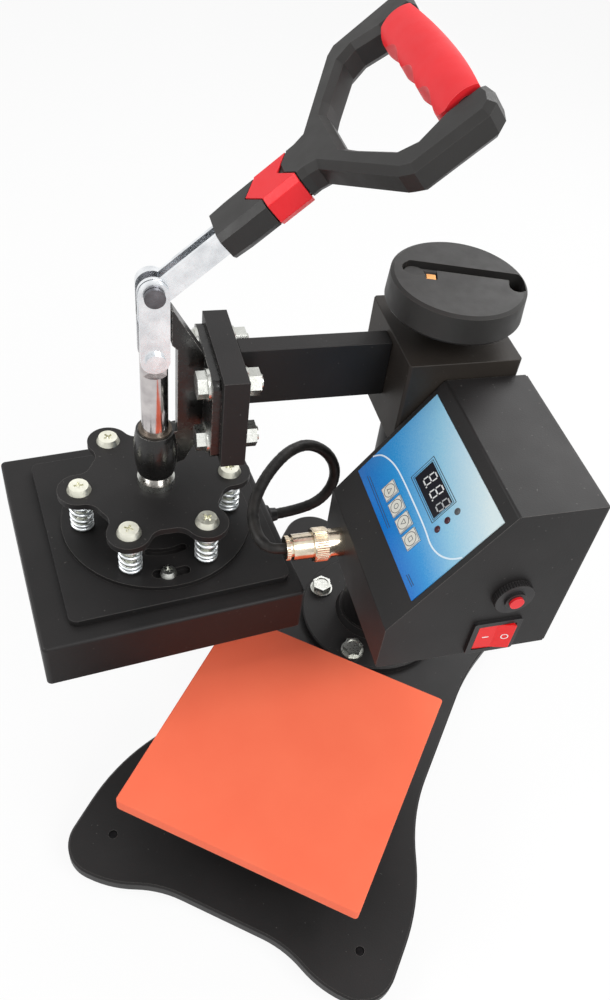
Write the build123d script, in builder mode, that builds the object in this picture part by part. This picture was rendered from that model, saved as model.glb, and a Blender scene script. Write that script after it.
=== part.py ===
from build123d import *
import os
from math import asin, atan2, cos, degrees, pi, radians, sin, sqrt, tan

# Swing away label heat press, in millimetres.
# The origin is the centre of the silicone pad's top face. X points to the operator's right,
# Y points away from the operator towards the column, and Z points up.
# The press is stored open, as it stands in the picture: the arm swung out to the left, the lever up.

# Clearances
RUN = 0.05             # radial gap of a shaft that turns or slides in its hole
GAP = 0.3              # gap between pieces that pass each other

# Silicone pad and the lower platen under it
PAD = 150.0            # square pad, the scale of the whole object
PAD_THICK = 10.0
PAD_CORNER = 2.0
PLATEN_INSET = 2.0     # lower platen is this much smaller than the pad on each side
PLATEN_THICK = 5.0

# Base plate, an hourglass of thick steel
BASE_TOP = -66.0
BASE_THICK = 8.0
BASE_EDGE = 1.2        # bevel of the upper edge
BASE_FRONT = -84.5     # middle of the wavy front edge
BASE_FRONT_LOBE = -96.5
BASE_FRONT_HALF = 108.0
BASE_FLARE = -54.5     # where the side starts to draw in
BASE_WAIST = 84.0
WAIST_FROM = 55.0
WAIST_TO = 130.0
BASE_REAR_HALF = 96.0
BASE_REAR = 237.0      # middle of the wavy rear edge
BASE_REAR_LOBE = 246.0
LOBE_X = 84.0          # where a lobe of the front edge is longest
MIDDLE_HALF = 27.0     # half the straight stretch between the lobes
BASE_CORNER = 22.0

# Rubber feet
FOOT_X = 83.5
FOOT_FRONT_Y = -69.0
FOOT_REAR_Y = 218.0
FOOT_HEIGHT = 12.0
FOOT_RADIUS = 13.0
FOOT_SCREW = 2.5       # radius of the screw's shank
FOOT_HEAD = 4.5
FOOT_HEAD_HIGH = 3.0
FOOT_RECESS = 5.0      # depth of the pocket in the foot that hides the screw's head

# Column: a round post on a round flange
COLUMN_Y = 169.7       # swing axis behind the pad's centre
POST_RADIUS = 25.0
POST_WALL = 4.0
POST_TOP = 178.0
POST_NUT = 14.0        # length of the threaded plug in the post's top
FLANGE_RADIUS = 54.5
FLANGE_THICK = 6.0
FLANGE_EDGE = 1.0
COLLAR_RADIUS = 29.0   # raised collar round the post
COLLAR_HIGH = 6.0
BOLT_CIRCLE = 43.7     # radius through the four flange bolts

# Pedestal that carries the lower platen
PEDESTAL_RADIUS = 30.0
PEDESTAL_WALL = 4.0
PEDESTAL_FLANGE = 52.0
PEDESTAL_PLATE = 5.0
PEDESTAL_CIRCLE = 42.0
M6_RADIUS = 3.0
M6_HEAD = 5.5

# Hex bolts, size M8
M8_RADIUS = 4.0
M8_FLATS = 13.0        # across the flats of the head
M8_HEAD = 5.3
M8_WASHER = 8.5        # radius of the washer face
M8_WASHER_THICK = 1.6

# Arm
SWING = 52.0           # degrees from the closed place to the stored one
HOUSING = 67.0         # square housing round the post
HOUSING_BOTTOM = 145.0
HOUSING_TOP = 202.7
HOUSING_CAP = 12.0     # solid top of the housing
BUSH_RADIUS = 29.0
BUSH_LONG = 10.0
BEAM_WIDE = 12.0
BEAM_HIGH = 36.0
BEAM_TOP = 198.2
PLATE_FROM = 119.4     # end plate, from the column's axis
PLATE_THICK = 13.6
PLATE_WIDE = 65.0
PLATE_BOTTOM = 141.0
PLATE_TOP = 198.2

# Toggle bracket, a C shaped casting bolted to the end plate
REACH = 164.1          # plunger axis from the column's axis
BRACKET_FLANGE = 5.0
BRACKET_FLANGE_WIDE = 56.0
BRACKET_BOTTOM = 143.0
BRACKET_TOP = 195.0
WEB_THICK = 8.0
NOSE_THICK = 4.4       # web's nose between the lever's cheeks
NOSE_FROM = 9.0        # where the nose starts, behind the plunger's axis
WEB_EDGE = 11.9        # web's front edge behind the plunger's axis
WEB_TOP = 223.6
THROAT_TOP = 200.0     # top of the gap between web and plunger
BOSS_RADIUS = 10.8     # boss at its top, swelling to the belly and drawn in below
BOSS_BELLY = 12.3
BOSS_FOOT = 10.6
BOSS_TOP = 144.0
BOSS_BOTTOM = 113.0
BOLT_SIDE = 18.0       # bracket bolts beside the web
BOLT_LOW = 151.0
BOLT_HIGH = 187.5

# Toggle linkage: fixed pivot, crank pin on the lever, and plunger pin
LINK_PIN_Z = 235.0     # crank pin at rest, straight above the fixed pivot
LINK_LENGTH = 39.0
CRANK = 15.0           # fixed pivot to crank pin
PIVOT_RADIUS = 4.5
PIN_RADIUS = 4.0
RIVET_HEAD = 5.3
RIVET_HIGH = 2.0
LINK_HALF = 7.6        # half the width of a link, and its end radius
LINK_THICK = 3.0
LEVER_THICK = 1.8
EYE_RADIUS = 8.0       # bracket's eye round the fixed pivot
STROKE = 2 * CRANK     # plunger travel over half a turn of the lever

# Plunger, guide sleeve and spider
PLUNGER_RADIUS = 7.5
FLAT_HALF = 4.4        # half the thickness between the flats at the plunger's top
SLEEVE_TOP = 145.0
SLEEVE_BOTTOM = 111.5
SLEEVE_NOSE = 9.4      # outer radius of the bush in the boss
SPIDER_TOP = 103.4
SPIDER_THICK = 4.0
SPIDER_CORE = 40.0
SPIDER_LOBE = 12.5
SPIDER_VALLEY = 9.0    # radius of the hollows between the lobes
SCREW_CIRCLE = 44.6
SCREWS = 6
NUT_RADIUS = 10.9
NUT_HIGH = 4.2
STUD_RADIUS = 6.0

# Springs between the spider and the slotted disc
SPRING_RADIUS = 5.4    # to the middle of the wire
WIRE_RADIUS = 1.1
WIRE_SIDES = 4
SPRING_TURNS = 5.5

# Slotted disc, adapter plate and heated platen
DISC_RADIUS = 57.2
DISC_THICK = 3.0
ADAPTER = 131.0
ADAPTER_THICK = 4.6
PLATEN = 154.5
PLATEN_BOTTOM = STROKE + GAP
COVER_TOP = 65.3
COVER_WALL = 1.5
COVER_CORNER = 3.0
HEATER_THICK = 14.0
HEATER_EDGE = 1.0      # heating plate's gap to the cover
YAW = 5.9              # platen turned on the arm, as the picture shows
PLATEN_OUT = 5.6       # platen's centre beyond the plunger's axis
SPIDER_TURN = 2.2      # spider and its screws turned on the arm
SLOT_CIRCLE = 47.2
SLOT_HALF_WIDE = 3.2
SLOT_HALF_ANGLE = 9.8
INNER_SLOT_CIRCLE = 30.5
INNER_SLOT_HALF_WIDE = 2.7
INNER_SLOT_HALF_ANGLE = 19.5
SLOT_SCREW = 2.5
SLOT_HEAD = 5.0
SLOT_HEAD_HIGH = 3.2
HANGER_SCREW = 3.0
HANGER_HEAD = 7.0
HANGER_HEAD_HIGH = 3.5

# Pressure knob with its fold away handle
KNOB_BOTTOM = 217.5
KNOB_TOP = 234.5
KNOB_RADIUS = 38.6
KNOB_RIM = 36.8        # radius where the top face starts
KNOB_NECK = 15.0
KNOB_HOLLOW = 3.0      # depth of the hollow underside
SPINDLE_RADIUS = 6.0
SPINDLE_BOTTOM = 140.0
LIFT = 8.0             # height adjustment
GROOVE_TURN = 163.0    # direction of the groove in the knob's top
GROOVE_WIDE = 7.4
GROOVE_DEEP = 11.0
GROOVE_SIDE = 7.4      # groove's centre line beside the knob's axis
GROOVE_END = 32.0
HOOK_WIDE = 9.4        # hooked end of the groove, for a finger
HOOK_LONG = 18.0
FOLD_BAR = 3.0         # radius of the folding handle's bar
FOLD_HUB = 6.4         # ball at the bar's pivot
FOLD_PIVOT = -24.5
HUB_SIDE = 3.4
LUG_X = -15.6          # brass lug beside the hub
LUG_SIDE = -2.0
LUG_SIZE = 5.0

# Control box on the housing's side
BOX_INNER = HOUSING / 2 + 1.0
BOX_OUTER = 138.5
BOX_REAR = -37.6
BOX_FRONT = 65.3
BOX_TOP = 192.7
BOX_BOTTOM = 81.0
BOX_RIDGE = 11.0       # where the sloping panel starts
BOX_LIP = 115.0        # where the sloping panel ends
BOX_WALL = 1.6
LABEL_WIDE = 96.5
LABEL_HIGH = 65.0
LABEL_THICK = 0.6
LABEL_DOWN = 40.6      # label's centre from the ridge, along the slope
DISPLAY_WIDE = 47.0
DISPLAY_HIGH = 17.0
DISPLAY_SIDE = -2.8    # from the label's centre
DISPLAY_UP = 11.5
KEY_SIZE = 9.5
KEY_TRAVEL = 0.5
KEY_DOWN = 18.1
KEY_FIRST = -18.8
KEY_PITCH = 12.05
LAMP_RADIUS = 2.0
LAMP_PITCH = 7.45
LAMP_SIDE = 23.2
LAMP_UP = 5.1          # middle lamp above the label's centre
CONNECTOR_SIDE = 60.5
CONNECTOR_Z = 98.5
SOCKET_RADIUS = 8.5
BREAKER_U = -3.0
BREAKER_Z = 131.5
BREAKER_NUT = 11.0
BREAKER_NECK = 5.5     # threaded neck, which stands out beyond the nut
ROCKER_U = -1.5
ROCKER_Z = 96.0
ROCKER_WIDE = 29.0
ROCKER_HIGH = 27.0
GLAND_SIDE = 100.0
GLAND_Z = 96.0

# Handle, measured along its own axis from the crank pin
HANDLE_TILT = 41.1     # degrees above level, leaning back over the arm
LEVER_WIDE = 8.8
LEVER_HIGH = 3.4       # lever's edges above and below the handle's axis
LEVER_LOW = -9.0
LEVER_FLOOR = 17.0     # where the channel's floor starts
LEVER_IN = 18.0        # length of the lever inside the socket
SOCKET_FROM = 43.0
COLLAR_FROM = 70.0
FRAME_FROM = 90.0
CHEVRON = 7.5
SOCKET_MOUTH = 0.96    # socket's section at its mouth, as a share of the stem's
SOCKET_FLARE = 10.0
STEM_HALF = 13.0
STEM_TOP = 6.0
STEM_BOTTOM = -10.5
STEM_EDGE = 2.5        # drop of the bevel beside the stem's top facet
STEM_FACET = 9.3       # half the stem's top facet
STEM_CORE = 0.84       # core inside the collar, as a share of the stem's section
COLLAR_PROUD = 1.05
COLLAR_GAP = 0.8       # shadow gap beside the collar
YOKE = 94.0
YOKE_HALF = 19.0       # half width where the opening starts
OPENING_FROM = 114.0
OPENING_HALF = 47.5
OPENING_CORNER = 137.0
FRAME_HALF = 62.0
FRAME_CORNER = 129.5
FRAME_TOP = 6.3        # frame's faces above and below the handle's axis
FRAME_BOTTOM = -9.0
FRAME_CHAMFER = 3.0
GRIP_AXIS = 164.5
GRIP_RADIUS = 10.0
GRIP_HALF = 43.5
GRIP_CORE = 5.0
GRIP_RISE = -0.8       # grip's middle from the handle's axis
GRIP_WAVES = 4
WAVE_DEPTH = 1.6

# Cable from the control box to the heated platen
CABLE_RADIUS = 3.6
CABLE_SIDES = 8

# Places worked out from the sizes above
base_bottom = BASE_TOP - BASE_THICK
foot_bottom = base_bottom - FOOT_HEIGHT
flange_top = BASE_TOP + FLANGE_THICK
pad_bottom = -PAD_THICK
lower_platen_bottom = pad_bottom - PLATEN_THICK
pivot_z = LINK_PIN_Z - CRANK
plunger_pin_z = LINK_PIN_Z - LINK_LENGTH
flange_u = PLATE_FROM + PLATE_THICK
bracket_u = flange_u + BRACKET_FLANGE
web_u = REACH - WEB_EDGE
adapter_top = COVER_TOP + ADAPTER_THICK
disc_top = adapter_top + DISC_THICK
spider_bottom = SPIDER_TOP - SPIDER_THICK
lever_outer = LEVER_WIDE / 2
lever_inner = lever_outer - LEVER_THICK
link_inner = lever_outer + GAP
link_outer = link_inner + LINK_THICK

column = Plane(origin=(0, COLUMN_Y, 0), x_dir=(1, 0, 0), z_dir=(0, 0, 1))
swing = radians(SWING)
arm = Plane(origin=(0, COLUMN_Y, 0), x_dir=(-sin(swing), -cos(swing), 0), z_dir=(0, 0, 1))


def arm_side(side=0.0):
    """Upright plane along the arm: x runs outwards along the arm, y runs up."""
    return Plane(origin=arm.from_local_coords((0, side, 0)), x_dir=arm.x_dir, z_dir=-arm.y_dir)


def arm_front(out=0.0):
    """Upright plane across the arm, facing outwards: x runs to the arm's side, y runs up."""
    return Plane(origin=arm.from_local_coords((out, 0, 0)), x_dir=arm.y_dir, z_dir=arm.x_dir)


plunger = Plane(origin=arm.from_local_coords((REACH, 0, 0)), x_dir=arm.x_dir, z_dir=(0, 0, 1))
yaw_x = arm.x_dir * cos(radians(YAW)) + arm.y_dir * sin(radians(YAW))
turned = Plane(origin=plunger.origin, x_dir=yaw_x, z_dir=(0, 0, 1))
heater = Plane(
    origin=arm.from_local_coords((REACH + PLATEN_OUT, 0, 0)), x_dir=yaw_x, z_dir=(0, 0, 1)
)
spider_x = arm.x_dir * cos(radians(SPIDER_TURN)) + arm.y_dir * sin(radians(SPIDER_TURN))
spider_plane = Plane(origin=plunger.origin, x_dir=spider_x, z_dir=(0, 0, 1))

tilt = radians(HANDLE_TILT)
handle_axis = arm.x_dir * -cos(tilt) + Vector(0, 0, 1) * sin(tilt)
handle_up = arm.x_dir * sin(tilt) + Vector(0, 0, 1) * cos(tilt)
crank_pin = arm.from_local_coords((REACH, 0, LINK_PIN_Z))


def handle_section(along):
    """Plane square to the handle's axis, at a distance from the crank pin: y runs up."""
    return Plane(origin=crank_pin + handle_axis * along, x_dir=-arm.y_dir, z_dir=handle_axis)


def handle_side(side=0.0):
    """Plane along the handle seen from its side: x runs along the handle, y runs up."""
    return Plane(origin=crank_pin + arm.y_dir * side, x_dir=handle_axis, z_dir=arm.y_dir)


def handle_face(up=0.0):
    """Plane of the handle's loop: x runs across the arm, y runs along the handle."""
    return Plane(origin=crank_pin + handle_up * up, x_dir=arm.y_dir, z_dir=handle_up)


slope = atan2(BOX_TOP - BOX_LIP, BOX_FRONT - BOX_RIDGE)
slope_down = arm.x_dir * cos(slope) - Vector(0, 0, 1) * sin(slope)
slope_out = arm.x_dir * sin(slope) + Vector(0, 0, 1) * cos(slope)
box_middle = (BOX_INNER + BOX_OUTER) / 2
ridge = arm.from_local_coords((BOX_RIDGE, box_middle, BOX_TOP))


def panel(out=0.0):
    """Plane of the sloping panel at the label's centre: x runs across, y runs up the slope."""
    origin = ridge + slope_down * LABEL_DOWN + slope_out * out
    return Plane(origin=origin, x_dir=arm.y_dir, z_dir=slope_out)


os.makedirs("parts", exist_ok=True)


def s_bend(start, end, along):
    """Two equal arcs between two places where the outline runs the same way."""
    middle = ((start[0] + end[0]) / 2, (start[1] + end[1]) / 2)
    first = TangentArc(start, middle, tangent=along)
    TangentArc(middle, end, tangent=first % 1)


# Base plate: half outline of lines and arcs, mirrored, with four feet holes and the bolt holes
with BuildPart() as base_plate:
    with BuildSketch(Plane.XY.offset(base_bottom)):
        with BuildLine():
            front_straight = BASE_FRONT_HALF - BASE_CORNER
            corner_end = (BASE_FRONT_HALF, BASE_FRONT_LOBE + BASE_CORNER)
            rear_from = (BASE_REAR_HALF, BASE_REAR_LOBE - BASE_CORNER)
            rear_to = (BASE_REAR_HALF - BASE_CORNER, BASE_REAR_LOBE)
            Line((0, BASE_FRONT), (MIDDLE_HALF, BASE_FRONT))
            s_bend((MIDDLE_HALF, BASE_FRONT), (LOBE_X, BASE_FRONT_LOBE), (1, 0))
            Line((LOBE_X, BASE_FRONT_LOBE), (front_straight, BASE_FRONT_LOBE))
            TangentArc((front_straight, BASE_FRONT_LOBE), corner_end, tangent=(1, 0))
            Line(corner_end, (BASE_FRONT_HALF, BASE_FLARE))
            s_bend((BASE_FRONT_HALF, BASE_FLARE), (BASE_WAIST, WAIST_FROM), (0, 1))
            Line((BASE_WAIST, WAIST_FROM), (BASE_WAIST, WAIST_TO))
            s_bend((BASE_WAIST, WAIST_TO), rear_from, (0, 1))
            TangentArc(rear_from, rear_to, tangent=(0, 1))
            s_bend(rear_to, (MIDDLE_HALF, BASE_REAR), (-1, 0))
            Line((MIDDLE_HALF, BASE_REAR), (0, BASE_REAR))
            Line((0, BASE_REAR), (0, BASE_FRONT))
        make_face()
        mirror(about=Plane.YZ)
    extrude(amount=BASE_THICK)
    chamfer(base_plate.faces().sort_by(Axis.Z)[-1].outer_wire().edges(), length=BASE_EDGE)
    with BuildSketch(Plane.XY.offset(base_bottom)) as foot_holes:
        for foot_y in (FOOT_FRONT_Y, FOOT_REAR_Y):
            with Locations((-FOOT_X, foot_y), (FOOT_X, foot_y)):
                Circle(FOOT_SCREW + GAP)
    extrude(amount=BASE_THICK, mode=Mode.SUBTRACT)
    with BuildSketch(column.offset(base_bottom)):
        with PolarLocations(BOLT_CIRCLE, 4):
            Circle(M8_RADIUS + RUN)
    extrude(amount=BASE_THICK, mode=Mode.SUBTRACT)
    with BuildSketch(Plane.XY.offset(base_bottom)):
        with PolarLocations(PEDESTAL_CIRCLE, 4, start_angle=45):
            Circle(M6_RADIUS + RUN)
    extrude(amount=BASE_THICK, mode=Mode.SUBTRACT)
base_plate.part.label = "base_plate"
export_step(base_plate.part, "parts/base_plate.step")

foot_spots = [(x, y) for y in (FOOT_FRONT_Y, FOOT_REAR_Y) for x in (-FOOT_X, FOOT_X)]

with BuildPart() as rubber_feet:
    with BuildSketch(Plane.XY.offset(base_bottom)):
        with Locations(*foot_spots):
            Circle(FOOT_RADIUS)
    extrude(amount=-FOOT_HEIGHT, taper=6)
    with BuildSketch(Plane.XY.offset(foot_bottom)):
        with Locations(*foot_spots):
            Circle(FOOT_HEAD + GAP)
    extrude(amount=FOOT_RECESS, mode=Mode.SUBTRACT)
    with BuildSketch(Plane.XY.offset(foot_bottom)):
        with Locations(*foot_spots):
            Circle(FOOT_SCREW + RUN)
    extrude(amount=FOOT_HEIGHT, mode=Mode.SUBTRACT)
rubber_feet.part.label = "rubber_feet"
export_step(rubber_feet.part, "parts/rubber_feet.step")

head_seat = foot_bottom + FOOT_RECESS
with BuildPart() as foot_screws:
    with BuildSketch(Plane.XY.offset(head_seat)):
        with Locations(*foot_spots):
            Circle(FOOT_HEAD)
    extrude(amount=-FOOT_HEAD_HIGH)
    with BuildSketch(Plane.XY.offset(head_seat)):
        with Locations(*foot_spots):
            Circle(FOOT_SCREW)
    extrude(amount=BASE_TOP - 1 - head_seat)
foot_screws.part.label = "foot_screws"
export_step(foot_screws.part, "parts/foot_screws.step")

# Post flange with its collar, bolts and the round post
with BuildPart() as post_flange:
    with BuildSketch(column.offset(BASE_TOP)):
        Circle(FLANGE_RADIUS)
    extrude(amount=FLANGE_THICK)
    chamfer(post_flange.edges().group_by(Axis.Z)[-1], length=FLANGE_EDGE)
    with BuildSketch(column.offset(flange_top)):
        Circle(COLLAR_RADIUS)
    extrude(amount=COLLAR_HIGH, taper=20)
    with BuildSketch(column.offset(BASE_TOP)):
        Circle(POST_RADIUS)
        with PolarLocations(BOLT_CIRCLE, 4):
            Circle(M8_RADIUS + RUN)
    extrude(amount=FLANGE_THICK + COLLAR_HIGH, mode=Mode.SUBTRACT)
post_flange.part.label = "post_flange"
export_step(post_flange.part, "parts/post_flange.step")

with BuildPart() as flange_bolts:
    with BuildSketch(column.offset(flange_top)):
        with PolarLocations(BOLT_CIRCLE, 4):
            Circle(M8_WASHER)
    extrude(amount=M8_WASHER_THICK)
    with BuildSketch(column.offset(flange_top + M8_WASHER_THICK)):
        with PolarLocations(BOLT_CIRCLE, 4):
            RegularPolygon(M8_FLATS / 2, 6, major_radius=False)
    extrude(amount=M8_HEAD)
    with BuildSketch(column.offset(flange_top + M8_WASHER_THICK + M8_HEAD)):
        with PolarLocations(BOLT_CIRCLE, 4):
            Circle(M8_FLATS / 2 - 1.4)
    extrude(amount=-0.8, mode=Mode.SUBTRACT)
    with BuildSketch(column.offset(flange_top)):
        with PolarLocations(BOLT_CIRCLE, 4):
            Circle(M8_RADIUS)
    extrude(amount=base_bottom + 0.5 - flange_top)
flange_bolts.part.label = "flange_bolts"
export_step(flange_bolts.part, "parts/flange_bolts.step")

with BuildPart() as column_post:
    with BuildSketch(column.offset(BASE_TOP)):
        Circle(POST_RADIUS)
    extrude(amount=POST_TOP - BASE_TOP)
    chamfer(column_post.edges().group_by(Axis.Z)[-1], length=1.0)
    with BuildSketch(column.offset(BASE_TOP)):
        Circle(POST_RADIUS - POST_WALL)
    extrude(amount=POST_TOP - POST_NUT - BASE_TOP, mode=Mode.SUBTRACT)
    with BuildSketch(column.offset(BASE_TOP)):
        Circle(SPINDLE_RADIUS + RUN)
    extrude(amount=POST_TOP - BASE_TOP, mode=Mode.SUBTRACT)
column_post.part.label = "column_post"
export_step(column_post.part, "parts/column_post.step")

# Pedestal, lower platen and pad
pedestal_high = lower_platen_bottom - BASE_TOP
with BuildPart() as pedestal:
    with BuildSketch(Plane.XY.offset(BASE_TOP)):
        Circle(PEDESTAL_RADIUS)
    extrude(amount=pedestal_high)
    with BuildSketch(Plane.XY.offset(BASE_TOP)):
        Circle(PEDESTAL_FLANGE)
    extrude(amount=PEDESTAL_PLATE)
    with BuildSketch(Plane.XY.offset(lower_platen_bottom)):
        Circle(PEDESTAL_FLANGE)
    extrude(amount=-PEDESTAL_PLATE)
    with BuildSketch(Plane.XY.offset(BASE_TOP)):
        Circle(PEDESTAL_RADIUS - PEDESTAL_WALL)
        with PolarLocations(PEDESTAL_CIRCLE, 4, start_angle=45):
            Circle(M6_RADIUS + RUN)
    extrude(amount=pedestal_high, mode=Mode.SUBTRACT)
pedestal.part.label = "pedestal"
export_step(pedestal.part, "parts/pedestal.step")

with BuildPart() as lower_platen:
    with BuildSketch(Plane.XY.offset(lower_platen_bottom)):
        RectangleRounded(PAD - 2 * PLATEN_INSET, PAD - 2 * PLATEN_INSET, PAD_CORNER)
        with PolarLocations(PEDESTAL_CIRCLE, 4, start_angle=45):
            Circle(M6_RADIUS + RUN, mode=Mode.SUBTRACT)
    extrude(amount=PLATEN_THICK)
    with BuildSketch(Plane.XY.offset(pad_bottom)):
        with PolarLocations(PEDESTAL_CIRCLE, 4, start_angle=45):
            Circle(M6_HEAD + RUN)
    extrude(amount=-3.5, mode=Mode.SUBTRACT)
lower_platen.part.label = "lower_platen"
export_step(lower_platen.part, "parts/lower_platen.step")

# Screws that hold the pedestal: four up through the base, four down through the platen
with BuildPart() as pedestal_screws:
    with BuildSketch(Plane.XY.offset(base_bottom)):
        with PolarLocations(PEDESTAL_CIRCLE, 4, start_angle=45):
            RegularPolygon(M6_HEAD - 0.5, 6)
    extrude(amount=-4)
    with BuildSketch(Plane.XY.offset(base_bottom)):
        with PolarLocations(PEDESTAL_CIRCLE, 4, start_angle=45):
            Circle(M6_RADIUS)
    extrude(amount=BASE_THICK + PEDESTAL_PLATE)
    with BuildSketch(Plane.XY.offset(pad_bottom - 3.5)):
        with PolarLocations(PEDESTAL_CIRCLE, 4, start_angle=45):
            Circle(M6_HEAD)
    extrude(amount=3.3)
    with BuildSketch(Plane.XY.offset(pad_bottom - 3.5)):
        with PolarLocations(PEDESTAL_CIRCLE, 4, start_angle=45):
            Circle(M6_RADIUS)
    extrude(amount=-(PLATEN_THICK - 3.5 + PEDESTAL_PLATE))
pedestal_screws.part.label = "pedestal_screws"
export_step(pedestal_screws.part, "parts/pedestal_screws.step")

with BuildPart() as silicone_pad:
    with BuildSketch(Plane.XY.offset(pad_bottom)):
        RectangleRounded(PAD, PAD, PAD_CORNER)
    extrude(amount=PAD_THICK)
silicone_pad.part.label = "silicone_pad"
export_step(silicone_pad.part, "parts/silicone_pad.step")

# Two plain bushes between the post and the swinging housing
housing_low = HOUSING_BOTTOM + 1
housing_high = POST_TOP - LIFT - BUSH_LONG
with BuildPart() as post_bushes:
    for bush_z in (housing_low, housing_high):
        with BuildSketch(column.offset(bush_z)):
            Circle(BUSH_RADIUS)
            Circle(POST_RADIUS + RUN, mode=Mode.SUBTRACT)
        extrude(amount=BUSH_LONG)
post_bushes.part.label = "post_bushes"
export_step(post_bushes.part, "parts/post_bushes.step")

# Swinging housing, square outside and bored for the bushes
bore_top = HOUSING_TOP - HOUSING_CAP
with BuildPart() as column_housing:
    with BuildSketch(arm.offset(HOUSING_BOTTOM)):
        Rectangle(HOUSING, HOUSING)
    extrude(amount=HOUSING_TOP - HOUSING_BOTTOM)
    chamfer(column_housing.edges().filter_by(Axis.Z), length=1.5)
    with BuildSketch(arm.offset(HOUSING_BOTTOM)):
        Circle(BUSH_RADIUS + RUN)
    extrude(amount=bore_top - HOUSING_BOTTOM, mode=Mode.SUBTRACT)
    with BuildSketch(arm.offset(HOUSING_BOTTOM)):
        Circle(SPINDLE_RADIUS + RUN)
    extrude(amount=HOUSING_TOP - HOUSING_BOTTOM, mode=Mode.SUBTRACT)
column_housing.part.label = "column_housing"
export_step(column_housing.part, "parts/column_housing.step")

with BuildPart() as arm_beam:
    with BuildSketch(arm_front(HOUSING / 2)):
        with Locations((0, BEAM_TOP - BEAM_HIGH / 2)):
            Rectangle(BEAM_WIDE, BEAM_HIGH)
    extrude(amount=PLATE_FROM - HOUSING / 2)
arm_beam.part.label = "arm_beam"
export_step(arm_beam.part, "parts/arm_beam.step")

bolt_spots = [(side, z) for z in (BOLT_LOW, BOLT_HIGH) for side in (-BOLT_SIDE, BOLT_SIDE)]

with BuildPart() as end_plate:
    with BuildSketch(arm_front(PLATE_FROM)):
        with Locations((0, (PLATE_TOP + PLATE_BOTTOM) / 2)):
            Rectangle(PLATE_WIDE, PLATE_TOP - PLATE_BOTTOM)
        with Locations(*bolt_spots):
            Circle(M8_RADIUS + RUN, mode=Mode.SUBTRACT)
    extrude(amount=PLATE_THICK)
end_plate.part.label = "end_plate"
export_step(end_plate.part, "parts/end_plate.step")

# Toggle bracket: flange, C shaped web with the pivot eye above and the sleeve's boss below
eye_low = pivot_z - EYE_RADIUS
with BuildPart() as toggle_bracket:
    with BuildSketch(arm_front(flange_u)):
        with Locations((0, (BRACKET_TOP + BRACKET_BOTTOM) / 2)):
            RectangleRounded(BRACKET_FLANGE_WIDE, BRACKET_TOP - BRACKET_BOTTOM, 4)
        with Locations(*bolt_spots):
            Circle(M8_RADIUS + RUN, mode=Mode.SUBTRACT)
    extrude(amount=BRACKET_FLANGE)
    with BuildSketch(arm_side()):
        with BuildLine():
            Polyline(
                (bracket_u - 1, BRACKET_BOTTOM + 2),
                (web_u - 4, BOSS_BOTTOM + 9),
                (REACH - SLEEVE_NOSE, BOSS_BOTTOM + 6),
                (REACH - SLEEVE_NOSE, BOSS_TOP),
                (web_u, BOSS_TOP),
                (web_u, THROAT_TOP),
                (REACH - NOSE_FROM, THROAT_TOP + 3),
                (REACH - EYE_RADIUS + 2, eye_low + 1.5),
                (REACH, eye_low),
                (REACH, pivot_z + EYE_RADIUS),
                (web_u + 2, WEB_TOP),
                (bracket_u - 1, BRACKET_TOP - 1),
                close=True,
            )
        make_face()
        with Locations((REACH, pivot_z)):
            Circle(EYE_RADIUS)
    extrude(amount=WEB_THICK / 2, both=True)
    for side in (-1, 1):
        with BuildSketch(arm_side(side * NOSE_THICK / 2)):
            with Locations((REACH + EYE_RADIUS, pivot_z)):
                Rectangle(2 * (NOSE_FROM + EYE_RADIUS), 2 * (pivot_z - THROAT_TOP) - 1)
        extrude(amount=-side * WEB_THICK, mode=Mode.SUBTRACT)
    with BuildSketch(arm_side()):
        with Locations((REACH, pivot_z)):
            Circle(PIVOT_RADIUS)
    extrude(amount=WEB_THICK / 2, both=True, mode=Mode.SUBTRACT)
    with BuildSketch(arm_side()):
        with BuildLine():
            belly = ThreePointArc(
                (REACH + BOSS_RADIUS, BOSS_TOP),
                (REACH + BOSS_BELLY, (BOSS_TOP + BOSS_BOTTOM) / 2 + 2),
                (REACH + BOSS_FOOT, BOSS_BOTTOM),
            )
            Polyline(belly @ 1, (REACH, BOSS_BOTTOM), (REACH, BOSS_TOP), belly @ 0)
        make_face()
    revolve(axis=Axis(plunger.origin, (0, 0, 1)))
    with BuildSketch(plunger.offset(BOSS_BOTTOM)):
        Circle(SLEEVE_NOSE)
    extrude(amount=BOSS_TOP - BOSS_BOTTOM, mode=Mode.SUBTRACT)
toggle_bracket.part.label = "toggle_bracket"
export_step(toggle_bracket.part, "parts/toggle_bracket.step")

with BuildPart() as guide_sleeve:
    with BuildSketch(plunger.offset(SLEEVE_BOTTOM)):
        Circle(SLEEVE_NOSE)
    extrude(amount=SLEEVE_TOP - SLEEVE_BOTTOM)
    chamfer(guide_sleeve.edges().group_by(Axis.Z)[0], length=0.6)
    with BuildSketch(plunger.offset(SLEEVE_BOTTOM)):
        Circle(PLUNGER_RADIUS + RUN)
    extrude(amount=SLEEVE_TOP - SLEEVE_BOTTOM, mode=Mode.SUBTRACT)
guide_sleeve.part.label = "guide_sleeve"
export_step(guide_sleeve.part, "parts/guide_sleeve.step")

bolt_head_u = bracket_u + M8_WASHER_THICK
nut_u = PLATE_FROM - M8_WASHER_THICK
with BuildPart() as bracket_bolts:
    with BuildSketch(arm_front(bolt_head_u)):
        with Locations(*bolt_spots):
            RegularPolygon(M8_FLATS / 2, 6, major_radius=False)
    extrude(amount=M8_HEAD)
    with BuildSketch(arm_front(bolt_head_u)):
        with Locations(*bolt_spots):
            Circle(M8_RADIUS)
    extrude(amount=nut_u - 8 - bolt_head_u)
bracket_bolts.part.label = "bracket_bolts"
export_step(bracket_bolts.part, "parts/bracket_bolts.step")

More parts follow.
